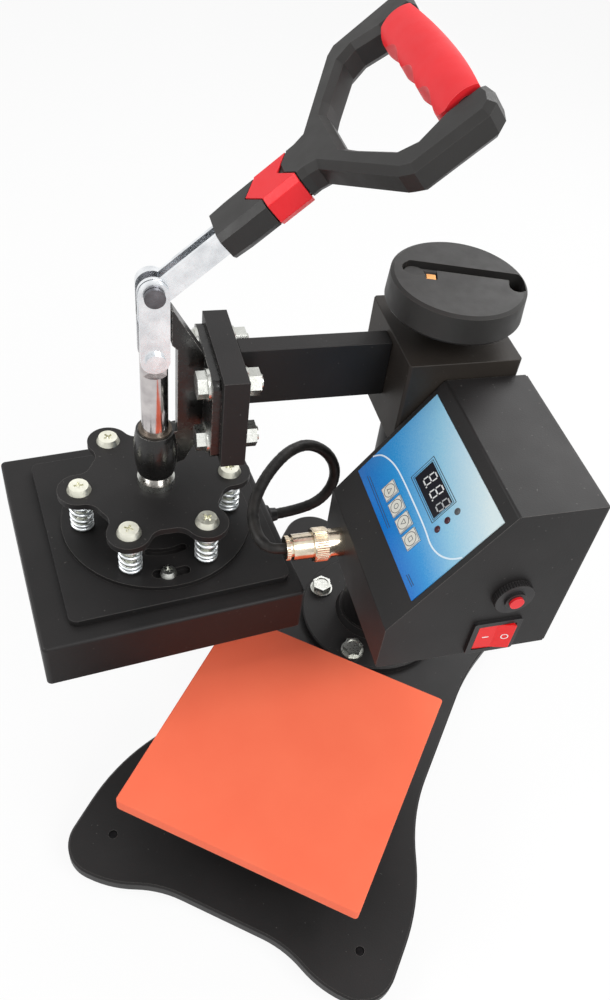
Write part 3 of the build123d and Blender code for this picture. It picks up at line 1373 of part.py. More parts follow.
bezel_proud = 2.0
with BuildPart() as rocker_bezel:
    with BuildSketch(arm_side(BOX_OUTER)):
        with Locations((ROCKER_U, ROCKER_Z)):
            RectangleRounded(ROCKER_WIDE, ROCKER_HIGH, 1.5)
            Rectangle(ROCKER_WIDE - 6, ROCKER_HIGH - 6, mode=Mode.SUBTRACT)
    extrude(amount=-bezel_proud)
    with BuildSketch(arm_side(BOX_OUTER)):
        with Locations((ROCKER_U, ROCKER_Z)):
            Rectangle(ROCKER_WIDE - 3 - 2 * RUN, ROCKER_HIGH - 3 - 2 * RUN)
            Rectangle(ROCKER_WIDE - 6, ROCKER_HIGH - 6, mode=Mode.SUBTRACT)
    extrude(amount=18)
    with BuildSketch(arm_side(BOX_OUTER - 18)):
        with Locations((ROCKER_U, ROCKER_Z)):
            Rectangle(ROCKER_WIDE - 3 - 2 * RUN, ROCKER_HIGH - 3 - 2 * RUN)
    extrude(amount=4)
rocker_bezel.part.label = "rocker_bezel"
export_step(rocker_bezel.part, "parts/rocker_bezel.step")

# Rocker: two flats at an angle, turning about a level axis across its middle
rocker_half = ROCKER_WIDE / 2 - 3 - 0.9
rocker_plane = Plane(
    origin=arm.from_local_coords((ROCKER_U, BOX_OUTER, ROCKER_Z)),
    x_dir=arm.x_dir,
    z_dir=(0, 0, 1),
)
with BuildPart() as rocker:
    with BuildSketch(rocker_plane):
        with BuildLine():
            Polyline(
                (-rocker_half, 4.0),
                (0, 1.6),
                (rocker_half, 1.2),
                (rocker_half - 3, -6),
                (-rocker_half + 3, -5),
                close=True,
            )
        make_face()
    extrude(amount=ROCKER_HIGH / 2 - 3 - GAP, both=True)
rocker.part.label = "rocker"
export_step(rocker.part, "parts/rocker.step")

with BuildPart() as cable_gland:
    with BuildSketch(arm_front(BOX_REAR - back_cover)):
        with Locations((GLAND_SIDE, GLAND_Z)):
            RegularPolygon(9, 6)
    extrude(amount=-4)
    with BuildSketch(arm_front(BOX_REAR - back_cover - 4)):
        with Locations((GLAND_SIDE, GLAND_Z)):
            Circle(7)
    extrude(amount=-8, taper=6)
    with BuildSketch(arm_front(BOX_REAR - back_cover - 12)):
        with Locations((GLAND_SIDE, GLAND_Z)):
            Circle(6 - RUN)
    extrude(amount=back_cover + 20)
    with BuildSketch(arm_front(BOX_REAR - back_cover - 12)):
        with Locations((GLAND_SIDE, GLAND_Z)):
            Circle(3.6)
    extrude(amount=back_cover + 20, mode=Mode.SUBTRACT)
cable_gland.part.label = "cable_gland"
export_step(cable_gland.part, "parts/cable_gland.step")

# Handle: faceted socket, chevron collar, forked frame and a grip with finger waves
def stem_facets(scale):
    """Eight sided section of the stem, flat above and below, drawn at a scale."""
    half = [
        (STEM_FACET, STEM_BOTTOM),
        (STEM_HALF, STEM_BOTTOM + 4),
        (STEM_HALF, STEM_TOP - STEM_EDGE),
        (STEM_FACET, STEM_TOP),
    ]
    other = [(-x, y) for x, y in reversed(half)]
    return [(x * scale, y * scale) for x, y in half + other]


def chevron(low, high, low_notch, high_notch):
    """Outline of a band along the stem, seen from above, whose ends point to the crank pin."""
    wide = FRAME_HALF + 5
    return [
        (-wide, low),
        (-STEM_FACET, low),
        (0, low - low_notch),
        (STEM_FACET, low),
        (wide, low),
        (wide, high),
        (STEM_FACET, high),
        (0, high - high_notch),
        (-STEM_FACET, high),
        (-wide, high),
    ]


core_from = SOCKET_FROM + LEVER_IN + GAP
with BuildPart() as handle_socket:
    with BuildSketch(handle_section(SOCKET_FROM)):
        with BuildLine():
            Polyline(*stem_facets(SOCKET_MOUTH), close=True)
        make_face()
    with BuildSketch(handle_section(SOCKET_FROM + SOCKET_FLARE)):
        with BuildLine():
            Polyline(*stem_facets(1), close=True)
        make_face()
    loft(ruled=True)
    with BuildSketch(handle_section(SOCKET_FROM + SOCKET_FLARE)):
        with BuildLine():
            Polyline(*stem_facets(1), close=True)
        make_face()
    extrude(amount=COLLAR_FROM - SOCKET_FROM - SOCKET_FLARE)
    with BuildSketch(handle_face()):
        with BuildLine():
            Polyline(*chevron(SOCKET_FROM - 5, COLLAR_FROM, 0, CHEVRON), close=True)
        make_face()
    extrude(amount=3 * STEM_HALF, both=True, mode=Mode.INTERSECT)
    with BuildSketch(handle_section(SOCKET_FROM)):
        with Locations((0, (LEVER_HIGH + LEVER_LOW) / 2)):
            Rectangle(LEVER_WIDE + 2 * RUN, LEVER_HIGH - LEVER_LOW + 2 * RUN)
    extrude(amount=LEVER_IN + GAP, mode=Mode.SUBTRACT)
    with BuildSketch(handle_section(core_from)):
        with BuildLine():
            Polyline(*stem_facets(STEM_CORE + 0.01), close=True)
        make_face()
    extrude(amount=COLLAR_FROM, mode=Mode.SUBTRACT)
handle_socket.part.label = "handle_socket"
export_step(handle_socket.part, "parts/handle_socket.step")

with BuildPart() as handle_collar:
    with BuildSketch(handle_section(COLLAR_FROM - CHEVRON)):
        with BuildLine():
            Polyline(*stem_facets(COLLAR_PROUD), close=True)
        make_face()
        with BuildLine():
            Polyline(*stem_facets(STEM_CORE + 0.01), close=True)
        make_face(mode=Mode.SUBTRACT)
    extrude(amount=FRAME_FROM - COLLAR_FROM + CHEVRON)
    with BuildSketch(handle_face()):
        with BuildLine():
            Polyline(
                *chevron(COLLAR_FROM + COLLAR_GAP, FRAME_FROM - COLLAR_GAP, CHEVRON, CHEVRON),
                close=True,
            )
        make_face()
    extrude(amount=3 * STEM_HALF, both=True, mode=Mode.INTERSECT)
handle_collar.part.label = "handle_collar"
export_step(handle_collar.part, "parts/handle_collar.step")

frame_thick = FRAME_TOP - FRAME_BOTTOM
with BuildPart() as handle_frame:
    with BuildSketch(handle_face(FRAME_BOTTOM)) as frame_outline:
        with BuildLine():
            Polyline(
                (0, FRAME_FROM - CHEVRON),
                (STEM_HALF, FRAME_FROM - CHEVRON),
                (STEM_HALF, YOKE),
                (STEM_HALF + 1.5, YOKE + 5),
                (FRAME_HALF - 5, FRAME_CORNER - 3),
                (FRAME_HALF, FRAME_CORNER + 3),
                (FRAME_HALF, GRIP_AXIS + 4),
                (FRAME_HALF - 4, GRIP_AXIS + GRIP_RADIUS - 1),
                (GRIP_HALF + 8, GRIP_AXIS + GRIP_RADIUS + 1),
                (GRIP_HALF + RUN, GRIP_AXIS + GRIP_RADIUS),
                (GRIP_HALF + RUN, GRIP_AXIS - GRIP_RADIUS + 1),
                (OPENING_HALF, OPENING_CORNER + 4),
                (OPENING_HALF - 3, OPENING_CORNER - 4),
                (YOKE_HALF + 4, OPENING_FROM + 4),
                (YOKE_HALF - 3, OPENING_FROM),
                (0, OPENING_FROM),
                close=True,
            )
        make_face()
        mirror(about=Plane.YZ)
    extrude(amount=frame_thick)
    chamfer(
        handle_frame.edges().filter_by(lambda e: abs(e.tangent_at(0).dot(handle_up)) < 0.01),
        length=FRAME_CHAMFER,
    )
    with BuildSketch(handle_face()):
        with BuildLine():
            Polyline(*chevron(FRAME_FROM, 2 * GRIP_AXIS, CHEVRON, 0), close=True)
        make_face()
    extrude(amount=3 * STEM_HALF, both=True, mode=Mode.INTERSECT)
    with BuildSketch(handle_section(core_from + GAP)):
        with BuildLine():
            Polyline(*stem_facets(STEM_CORE), close=True)
        make_face()
    extrude(amount=YOKE - core_from)
    with BuildSketch(handle_side()):
        with Locations((GRIP_AXIS, 0)):
            Circle(GRIP_CORE)
    extrude(amount=FRAME_HALF - 8, both=True)
handle_frame.part.label = "handle_frame"
export_step(handle_frame.part, "parts/handle_frame.step")

with BuildPart() as handle_grip:
    with BuildSketch(handle_face(0)):
        with BuildLine():
            inner = [
                (
                    -GRIP_HALF + 2 * GRIP_HALF * k / (2 * GRIP_WAVES),
                    GRIP_AXIS - GRIP_RADIUS - (WAVE_DEPTH if k % 2 else -WAVE_DEPTH),
                )
                for k in range(2 * GRIP_WAVES + 1)
            ]
            wave = Spline(*inner)
            Line(wave @ 1, (GRIP_HALF, GRIP_AXIS + GRIP_RADIUS - 2))
            ThreePointArc(
                (GRIP_HALF, GRIP_AXIS + GRIP_RADIUS - 2),
                (0, GRIP_AXIS + GRIP_RADIUS + 1),
                (-GRIP_HALF, GRIP_AXIS + GRIP_RADIUS - 2),
            )
            Line((-GRIP_HALF, GRIP_AXIS + GRIP_RADIUS - 2), wave @ 0)
        make_face()
    extrude(amount=GRIP_RADIUS, both=True)
    with BuildSketch(handle_side(GRIP_HALF + 5)):
        with Locations((GRIP_AXIS, GRIP_RISE)):
            Ellipse(GRIP_RADIUS + 2.5, GRIP_RADIUS - 1)
    extrude(amount=-2 * GRIP_HALF - 10, mode=Mode.INTERSECT)
    with BuildSketch(handle_side()):
        with Locations((GRIP_AXIS, 0)):
            Circle(GRIP_CORE + RUN)
    extrude(amount=GRIP_HALF + 5, both=True, mode=Mode.SUBTRACT)
handle_grip.part.label = "handle_grip"
export_step(handle_grip.part, "parts/handle_grip.step")

# Cable: straight out of the plug, round in an open loop behind the platen, into its gland
plug_end = arm.from_local_coords((BOX_FRONT + plug_length, CONNECTOR_SIDE, CONNECTOR_Z))
gland_end = gland_plane.origin + gland_plane.z_dir * (8 + GAP)
cable_route = [
    plug_end,
    arm.from_local_coords((106.5, CONNECTOR_SIDE, CONNECTOR_Z)),
    arm.from_local_coords((112, 54.5, 99)),
    arm.from_local_coords((114, 43, 100)),
    arm.from_local_coords((111.5, 28, 102.5)),
    arm.from_local_coords((103, 14, 106.5)),
    arm.from_local_coords((92, 1.5, 109)),
    arm.from_local_coords((80, -9, 109.5)),
    arm.from_local_coords((66, -17, 106)),
    arm.from_local_coords((53, -17, 98)),
    arm.from_local_coords((46, -14, 86)),
    arm.from_local_coords((46.5, -11.5, 72.5)),
    arm.from_local_coords((54.5, -10, 59.5)),
    gland_end - heater.x_dir * 15,
    gland_end,
]
runs = [(b - a).length for a, b in zip(cable_route, cable_route[1:])]
cable_radii = []
for k in range(1, len(cable_route) - 1):
    before = cable_route[k] - cable_route[k - 1]
    after = cable_route[k + 1] - cable_route[k]
    turn = radians(before.get_angle(after))
    shorter = min(runs[k - 1], runs[k])
    cable_radii.append(0.45 * shorter / tan(turn / 2))
print("cable runs", [round(r, 1) for r in runs])
print("cable radii", [round(r, 1) for r in cable_radii])
with BuildPart() as heater_cable:
    with BuildLine() as cable_path:
        FilletPolyline(*cable_route, radius=cable_radii)
    with BuildSketch(Plane(origin=cable_path.line @ 0, z_dir=cable_path.line % 0)):
        RegularPolygon(CABLE_RADIUS, CABLE_SIDES)
    sweep(path=cable_path.line)
cable_length = cable_path.wires()[0].length
print("cable length", round(cable_length, 1))
cable_area = CABLE_SIDES / 2 * CABLE_RADIUS ** 2 * sin(2 * pi / CABLE_SIDES)
print("cable volume by section and length", round(cable_area * cable_length, 1))
print("cable volume as built", round(heater_cable.part.volume, 1))
heater_cable.part.label = "heater_cable"
export_step(heater_cable.part, "parts/heater_cable.step")
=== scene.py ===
# %% [markdown]
# A swing away label heat press, dressed over its construction model. The model already holds every
# rigid piece at its real size, so this notebook gives the pieces their finishes, and makes what a
# construction model leaves out: the round spring wire, the cable, the printed panel and its digits.

# %% Load the construction model
import bpy
from math import atan2, cos, pi, radians, sin
from mathutils import Matrix, Vector


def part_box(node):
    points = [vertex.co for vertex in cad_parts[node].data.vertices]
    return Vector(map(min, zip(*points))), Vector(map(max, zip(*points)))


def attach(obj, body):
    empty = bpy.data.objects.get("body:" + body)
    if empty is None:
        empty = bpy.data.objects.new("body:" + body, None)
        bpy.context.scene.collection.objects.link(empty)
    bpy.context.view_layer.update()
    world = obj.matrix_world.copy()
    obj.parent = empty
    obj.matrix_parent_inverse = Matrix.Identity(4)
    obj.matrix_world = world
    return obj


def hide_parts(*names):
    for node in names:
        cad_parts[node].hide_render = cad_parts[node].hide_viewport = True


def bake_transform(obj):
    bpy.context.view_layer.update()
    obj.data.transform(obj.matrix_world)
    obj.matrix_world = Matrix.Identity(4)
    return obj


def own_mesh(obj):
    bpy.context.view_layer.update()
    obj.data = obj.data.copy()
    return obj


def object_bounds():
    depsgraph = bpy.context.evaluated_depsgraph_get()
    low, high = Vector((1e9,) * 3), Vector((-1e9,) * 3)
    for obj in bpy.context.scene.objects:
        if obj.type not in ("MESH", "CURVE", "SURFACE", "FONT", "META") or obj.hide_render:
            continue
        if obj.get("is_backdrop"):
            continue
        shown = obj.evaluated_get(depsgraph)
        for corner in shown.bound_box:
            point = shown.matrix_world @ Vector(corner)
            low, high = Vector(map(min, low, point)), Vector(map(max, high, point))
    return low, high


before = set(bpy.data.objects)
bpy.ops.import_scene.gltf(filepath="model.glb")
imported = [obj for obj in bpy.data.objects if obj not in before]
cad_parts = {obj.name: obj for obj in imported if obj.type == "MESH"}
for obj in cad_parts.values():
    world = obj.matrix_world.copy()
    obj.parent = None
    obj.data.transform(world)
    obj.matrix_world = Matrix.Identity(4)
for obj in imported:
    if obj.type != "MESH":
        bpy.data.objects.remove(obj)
model_low, model_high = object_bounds()
MM = 0.001
print("the press measures", [round(s / MM) for s in model_high - model_low], "mm")

# %% [markdown]
# Most places on this press are easiest to say along its arm, which is swung out to the left. One small
# function turns a place on the arm into a place in the world, so every number below stays a real
# distance: out along the arm, sideways towards the control box, and up.

# %% Places along the arm
SWING = radians(52)
COLUMN = Vector((0, 169.7, 0))
OUT = Vector((-sin(SWING), -cos(SWING), 0))
SIDE = Vector((cos(SWING), -sin(SWING), 0))
UP = Vector((0, 0, 1))


def on_arm(out, side, up):
    """World place, in metres, of a point given in millimetres along the arm."""
    return (COLUMN + OUT * out + SIDE * side + UP * up) * MM


def square_plane(origin, x_dir, normal):
    """Matrix whose x and y lie in a plane and whose z points out of it."""
    z = Vector(normal).normalized()
    x = Vector(x_dir).normalized()
    y = z.cross(x)
    turn = Matrix((x, y, z)).transposed().to_4x4()
    return Matrix.Translation(origin) @ turn


# %% [markdown]
# The photograph is taken from above and from the front, with a wide lens held a little crooked. A lens
# is a length over a sensor: with a sensor of 36 mm over the long side of the picture, the length here
# is 908 pixels of 1000. The shift moves the middle of the lens to where the photograph has it.

# %% Camera
CAMERA_AT = Vector((71.26, -269.75, 491.79)) * MM
LOOK_ROUND = radians(13.62)
LOOK_DOWN = radians(47.15)
CAMERA_ROLL = radians(11.48)
PICTURE = (610, 1000)
FOCAL_PIXELS = 908.5
LENS_MIDDLE = (342.1, 537.8)

camera_data = bpy.data.cameras.new("camera")
camera = bpy.data.objects.new("camera", camera_data)
bpy.context.scene.collection.objects.link(camera)
bpy.context.scene.camera = camera
camera_data.sensor_width = 36
camera_data.lens = 36 * FOCAL_PIXELS / max(PICTURE)
camera_data.shift_x = (PICTURE[0] / 2 - LENS_MIDDLE[0]) / max(PICTURE)
camera_data.shift_y = (LENS_MIDDLE[1] - PICTURE[1] / 2) / max(PICTURE)
camera_data.clip_start = 0.01
look = Vector((
    -sin(LOOK_ROUND) * cos(LOOK_DOWN),
    cos(LOOK_ROUND) * cos(LOOK_DOWN),
    -sin(LOOK_DOWN),
))
aim = look.to_track_quat("-Z", "Y").to_matrix().to_4x4()
camera.matrix_world = Matrix.Translation(CAMERA_AT) @ aim @ Matrix.Rotation(CAMERA_ROLL, 4, "Z")
print("lens", round(camera_data.lens, 1), "mm")

# %% [markdown]
# Every finish is a small node tree. Two helpers keep the trees short: one turns the hex colour that a
# paint chart would give into the linear colour that a renderer works with, and one adds a node with
# its settings and links. Patterns are drawn in object coordinates, which here are real metres.

# %% Helpers for node trees


def linear(hex_colour):
    """Linear colour with alpha from an sRGB hex value such as 2B2B2B."""
    parts = [int(hex_colour[i:i + 2], 16) / 255 for i in (0, 2, 4)]
    return [c / 12.92 if c <= 0.04045 else ((c + 0.055) / 1.055) ** 2.4 for c in parts] + [1]


def node(tree, kind, values=None, links=None, **settings):
    """Add a node, set its properties and input values, and link its inputs."""
    made = tree.nodes.new(kind)
    for name, value in settings.items():
        setattr(made, name, value)
    for name, value in (values or {}).items():
        made.inputs[name].default_value = value
    for name, source in (links or {}).items():
        tree.links.new(source, made.inputs[name])
    return made


def start_material(name, **shader_values):
    """Material with one shader; returns the material, its tree, the shader and object coordinates."""
    material = bpy.data.materials.new(name)
    material.use_nodes = True
    tree = material.node_tree
    tree.nodes.clear()
    values = {key.replace("_", " "): value for key, value in shader_values.items()}
    shader = node(tree, "ShaderNodeBsdfPrincipled", values)
    node(tree, "ShaderNodeOutputMaterial", links={"Surface": shader.outputs[0]})
    place = node(tree, "ShaderNodeTexCoord").outputs["Object"]
    return material, tree, shader, place


def noise(tree, place, size_mm, detail=2.0, rough=0.5):
    """Noise whose blobs are about that many millimetres across."""
    values = {"Scale": 1 / (size_mm * MM), "Detail": detail, "Roughness": rough}
    return node(tree, "ShaderNodeTexNoise", values, {"Vector": place}).outputs["Fac"]


def ramp(tree, source, low, high, low_value, high_value):
    """Map a range of a value to another range, held at its ends."""
    values = {"From Min": low, "From Max": high, "To Min": low_value, "To Max": high_value}
    return node(tree, "ShaderNodeMapRange", values, {"Value": source}).outputs["Result"]


def mix_colour(tree, share, first, second):
    """Blend two colours, each a hex value or a socket, by a share."""
    made = node(tree, "ShaderNodeMix", data_type="RGBA")
    tree.links.new(share, made.inputs[0])
    for index, colour in ((6, first), (7, second)):
        if isinstance(colour, str):
            made.inputs[index].default_value = linear(colour)
        else:
            tree.links.new(colour, made.inputs[index])
    return made.outputs[2]


def bump(tree, shader, height, depth_mm):
    """Raise the surface by a height from 0 to 1 times a depth."""
    values = {"Strength": 1.0, "Distance": depth_mm * MM}
    made = node(tree, "ShaderNodeBump", values, {"Height": height})
    tree.links.new(made.outputs[0], shader.inputs["Normal"])


def edge_share(tree, radius_mm, low=0.02, high=0.25):
    """How near a sharp edge a point is, from 0 to 1: where paint wears first, and where a painted highlight
    goes.
    """
    rounded = node(tree, "ShaderNodeBevel", {"Radius": radius_mm * MM}, samples=4)
    flat = node(tree, "ShaderNodeNewGeometry")
    links = {0: rounded.outputs[0], 1: flat.outputs["Normal"]}
    dot = node(tree, "ShaderNodeVectorMath", links=links, operation="DOT_PRODUCT")
    return ramp(tree, dot.outputs["Value"], 1 - low, 1 - high, 0, 1)


# %% [markdown]
# The flat steel parts are powder coated. The powder melts into a fine orange peel, which scatters light
# into a soft grey. The coat is thinnest on sharp edges, where a pale line is painted: a painted highlight.
# Real peel is about 0.4 mm across, less than a pixel here, so it is drawn at 0.9 mm to show at all.

# %% Powder coat


def powder_coat(name, dark, light, roughness, painted_edge_highlight, peel_mm=0.9, edge_mm=0.5):
    """Black powder coat: peel, a slow change of tone, pale specks and a painted highlight along edges."""
    material, tree, shader, place = start_material(name, IOR=1.5, Specular_IOR_Level=0.28)
    tone = ramp(tree, noise(tree, place, 45, 4), 0.35, 0.65, 0, 1)
    coat = mix_colour(tree, tone, dark, light)
    speck = ramp(tree, noise(tree, place, 1.6, 0), 0.83, 0.88, 0, 0.4)
    specked = mix_colour(tree, speck, coat, "6A6764")
    # Sharp edges get a pale line in the colour: a painted highlight
    edged = mix_colour(tree, edge_share(tree, edge_mm), specked, painted_edge_highlight)
    tree.links.new(edged, shader.inputs["Base Color"])
    matt = ramp(tree, noise(tree, place, 18, 3), 0.3, 0.7, roughness - 0.02, roughness + 0.02)
    tree.links.new(matt, shader.inputs["Roughness"])
    bump(tree, shader, noise(tree, place, peel_mm, 2), 0.05)
    return material


# Satin black steel: soft grey lights, and a painted highlight as a pale line on every edge
COAT = powder_coat("powder_coat_black", "191818", "1F1D1D", 0.5, "6A6764")
# The same coat, flatter, in a warmer brownish black that is a painted reflection, with a painted highlight
# on its edges
HOUSING_COAT = powder_coat("powder_coat_warm_reflection", "231F1C", "2E2924", 0.55, "7F7B75")
print("powder coats on steel plate and tube")

# %% [markdown]
# The bracket that carries the toggle is an iron casting under thick black enamel. Enamel is glossy, but
# it chips where tools touch it, so its edges show bare iron. The chips are noise, kept only near edges.

# %% Enamelled casting


def worn_casting(name):
    """Glossy black paint on a casting, scratched to bare metal along its edges."""
    material, tree, shader, place = start_material(name, IOR=1.5)
    scratch = ramp(tree, noise(tree, place, 2.2, 5, 0.7), 0.42, 0.6, 0, 1)
    near = edge_share(tree, 0.7, 0.01, 0.2)
    worn = node(tree, "ShaderNodeMath", links={0: scratch, 1: near}, operation="MULTIPLY").outputs[0]
    tree.links.new(mix_colour(tree, worn, "161514", "B9B7B2"), shader.inputs["Base Color"])
    tree.links.new(ramp(tree, worn, 0, 1, 0, 0.9), shader.inputs["Metallic"])
    tree.links.new(ramp(tree, noise(tree, place, 9, 3), 0.3, 0.7, 0.2, 0.34), shader.inputs["Roughness"])
    bump(tree, shader, noise(tree, place, 3.5, 3), 0.12)
    return material


# Glossy black with sharp lights, and bright chips along its edges
CASTING = worn_casting("enamelled_casting")
print("enamel on the toggle bracket")

# %% [markdown]
# Bolts, lever and rod are plated or ground steel. A metal has no colour under its shine: its base
# colour is the colour of what it reflects. Only tone, roughness and a very fine grain tell one plating
# from another, so one function takes those three. The grain can be stretched, as grinding leaves it.

# %% Metals


def metal(name, colour, shade, roughness, grain_mm=(1.2, 1.2, 1.2), depth_mm=0.01):
    """Bare or plated metal: a fine grain in its tone, its roughness and its surface."""
    material, tree, shader, place = start_material(name, Metallic=1.0)
    scale = [1 / (g * MM) for g in grain_mm]
    stretched = node(tree, "ShaderNodeMapping", {"Scale": scale}, {"Vector": place}).outputs[0]
    links = {"Vector": stretched}
    grain = node(tree, "ShaderNodeTexNoise", {"Scale": 1.0, "Detail": 3.0}, links).outputs["Fac"]
    cloud = ramp(tree, noise(tree, place, 9, 3), 0.35, 0.65, 0, 1)
    tree.links.new(mix_colour(tree, cloud, shade, colour), shader.inputs["Base Color"])
    rough = ramp(tree, grain, 0.3, 0.7, roughness * 0.75, roughness * 1.25)
    tree.links.new(rough, shader.inputs["Roughness"])
    bump(tree, shader, grain, depth_mm)
    return material


# Bright zinc on pressed steel: nearly white, with soft clouds
ZINC = metal("zinc_plate", "F2F4F6", "DADDE0", 0.26)
# Zinc on bolt heads, duller and a little yellow
BOLT_ZINC = metal("zinc_plate_bolts", "D8D9D4", "BFC0BA", 0.3)
# Zinc that has gone cream, on the flat screw heads
PALE_ZINC = metal("zinc_plate_yellowed", "F3F2E4", "E6E5D5", 0.42)
# Hard chrome, ground along the rod: dark and light bands in long streaks
CHROME = metal("ground_chrome", "C9C4C3", "B2ADAD", 0.12, (0.5, 0.5, 9.0))
# Oiled steel pins: a mid grey with a soft shine
DARK_STEEL = metal("oiled_steel", "77767A", "5A595C", 0.35)
# Blackened screws, which only show as a glint in their holes
BLACK_SCREW = metal("blackened_steel", "2B2A2B", "1B1A1B", 0.35)
# Nickel on the round connector: warm and mirror bright
NICKEL = metal("nickel_plate_warm", "E9DDC9", "CDBFA8", 0.2)
# Turned brass, the one gold spot on the knob
BRASS = metal("turned_brass", "E5A86B", "C98B50", 0.35)
# Oily sintered bronze, dull and dark
BRONZE = metal("sintered_bronze", "7B7268", "5E574F", 0.5)
# Milled aluminium, pale with fine lines across
ALUMINIUM = metal("milled_aluminium", "C8C9CB", "B4B6B9", 0.35, (0.4, 9, 9))
print("ten metals")

# %% [markdown]
# Handle, knob, switch and pad are moulded in nylon, phenolic, ABS and silicone. Spark erosion leaves a
# fine grain on the mould, which breaks up the shine on the part. Grain size, grain depth and roughness
# tell a hard plastic from a rubber, and a lighter colour painted along sharp edges is a painted highlight.

# %% Mouldings


def moulded(name, colour, shade, roughness, grain_mm=0.8, depth_mm=0.03, edge=""):
    """Moulded plastic or rubber with a spark eroded grain, and a painted highlight in the edge colour, if
    one is given.
    """
    material, tree, shader, place = start_material(name, IOR=1.46, Specular_IOR_Level=0.35)
    cloud = ramp(tree, noise(tree, place, 40, 2), 0.3, 0.7, 0, 1)
    body = mix_colour(tree, cloud, shade, colour)
    if edge:
        # The edge colour is a painted highlight along sharp edges
        body = mix_colour(tree, edge_share(tree, 0.6), body, edge)
    tree.links.new(body, shader.inputs["Base Color"])
    matt = ramp(tree, noise(tree, place, 7, 2), 0.3, 0.7, roughness - 0.05, roughness + 0.05)
    tree.links.new(matt, shader.inputs["Roughness"])
    bump(tree, shader, noise(tree, place, grain_mm, 2), depth_mm)
    return material


# Each edge colour given below is a painted highlight along sharp edges
# Glass filled nylon: satin black, with a painted highlight on its crests
HANDLE_BLACK = moulded("nylon_black", "2D2C2B", "252423", 0.42, edge="4C4B49")
# Phenolic resin, a dry dark grey
KNOB_BLACK = moulded("bakelite_black", "2B2A29", "222120", 0.5, edge="45433F")
# ABS of the switch frame and glands, smoother than the nylon
SWITCH_BLACK = moulded("abs_black", "2A2829", "1E1D1E", 0.4, edge="4A4847")
# Rubber feet, dull all over
FOOT_RUBBER = moulded("rubber_black", "1E1E1E", "171717", 0.7)
# Soft overmoulded grip, a bright warm red without hard lights
GRIP_RED = moulded("tpe_red", "F02A32", "E4222B", 0.42, 1.0, 0.02, edge="FF5B5E")
# Red ABS of the collar and the reset button
COLLAR_RED = moulded("abs_red", "EF262E", "E01E27", 0.35, edge="FF6A6A")
# Dense silicone sponge: flat coral red with an open, dusty surface
SILICONE = moulded("silicone_sponge_red", "FF7856", "FC7352", 0.75, 0.7, 0.04, edge="FF9B7C")
# Clear red polycarbonate of the rocker, with a sharp shine
ROCKER_RED = moulded("polycarbonate_red", "F00A10", "E4080E", 0.18, 2.0, 0.005, edge="FF4A40")
# Ceramic wool, off white and quite without shine
WOOL = moulded("ceramic_wool", "DDD8CC", "CFC9BB", 0.95, 1.5, 0.3)
# Green solder mask on the circuit board
BOARD_GREEN = moulded("circuit_board", "1D5A36", "164A2C", 0.4)
# Pale polyester domes of the keys
KEY_FILM = moulded("key_film", "E3E2D9", "DDDCD3", 0.35, 1.2, 0.004)
print("eleven mouldings")

# %% [markdown]
# One table says which finish goes on which nodes of the construction model, so that a change of
# plating is a change of one line. The springs, the cable, the pads, the panel and its display aren't in
# it, because new pieces replace them further down.

# %% Dress the construction model
finishes = {
    COAT: (
        "base_plate post_flange column_post pedestal lower_platen arm_beam end_plate spider"
        " slotted_disc adapter_plate heater_cover control_box box_back_cover"
    ),
    HOUSING_COAT: "column_housing",
    CASTING: "toggle_bracket",
    BOLT_ZINC: (
        "flange_bolts bracket_bolts bracket_nuts pedestal_screws slot_screws box_screws spider_nuts"
    ),
    ZINC: "lever_channel toggle_links",
    PALE_ZINC: "hanger_screws",
    DARK_STEEL: "pivot_pin spindle link_pin",
    BLACK_SCREW: "foot_screws",
    CHROME: "plunger_rod",
    BRONZE: "guide_sleeve post_bushes",
    BRASS: "pivot_block",
    ALUMINIUM: "heating_plate",
    FOOT_RUBBER: "rubber_feet",
    KNOB_BLACK: "knob fold_handle",
    HANDLE_BLACK: "handle_socket handle_frame",
    COLLAR_RED: "handle_collar reset_button",
    GRIP_RED: "handle_grip",
    SWITCH_BLACK: "rocker_bezel breaker_body cable_gland heater_gland",
    ROCKER_RED: "rocker",
    NICKEL: "connector_socket connector_plug",
    BOARD_GREEN: "controller_board",
    KEY_FILM: "key_up key_set key_down key_stop",
}


def dress(piece, material):
    """Give a piece one material."""
    piece.data.materials.clear()
    piece.data.materials.append(material)


for material, names in finishes.items():
    for name in names.split():
        dress(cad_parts[name], material)
print("finishes", len(finishes), "on", sum(len(names.split()) for names in finishes.values()), "nodes")

# %% [markdown]
# No sawn, cast or moulded edge is perfectly sharp. The construction model leaves its edges sharp, so the
# larger plates and the handle get a narrow Bevel here. The model comes as loose triangles, so Weld joins
# them and a planar Decimate clears the diagonals before the bevel runs.

# %% Broken edges
edge_widths = {
    0.5: "arm_beam column_housing end_plate adapter_plate control_box box_back_cover lower_platen",
    0.8: "handle_frame handle_socket handle_collar toggle_bracket",
}
for width, names in edge_widths.items():
    for name in names.split():
        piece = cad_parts[name]
        weld = piece.modifiers.new("weld", "WELD")
        weld.merge_threshold = 0.001 * MM
        flats = piece.modifiers.new("flats", "DECIMATE")
        flats.decimate_type = "DISSOLVE"
        flats.angle_limit = radians(1)
        edge = piece.modifiers.new("edge", "BEVEL")
        edge.width = width * MM
        edge.segments = 2
        edge.limit_method = "ANGLE"
        edge.angle_limit = radians(25)
        edge.harden_normals = True
print("edges broken on", sum(len(names.split()) for names in edge_widths.values()), "pieces")

# %% [markdown]
# The press stands on a plain white floor. The floor and the world look fully white to the camera and in
# reflections, through Light Path, while the lamps stay at a plain level, so no paint is washed out. The
# floor keeps a tenth of its own shading, and with it a faint soft shadow under the base.

# %% Floor, world and lamps
FLOOR_UP = -86
FLOOR_HALF = 4000
FLOOR_GLOW = 0.9
ROOM_LIGHT = 0.38

bpy.context.scene.view_settings.view_transform = "Standard"


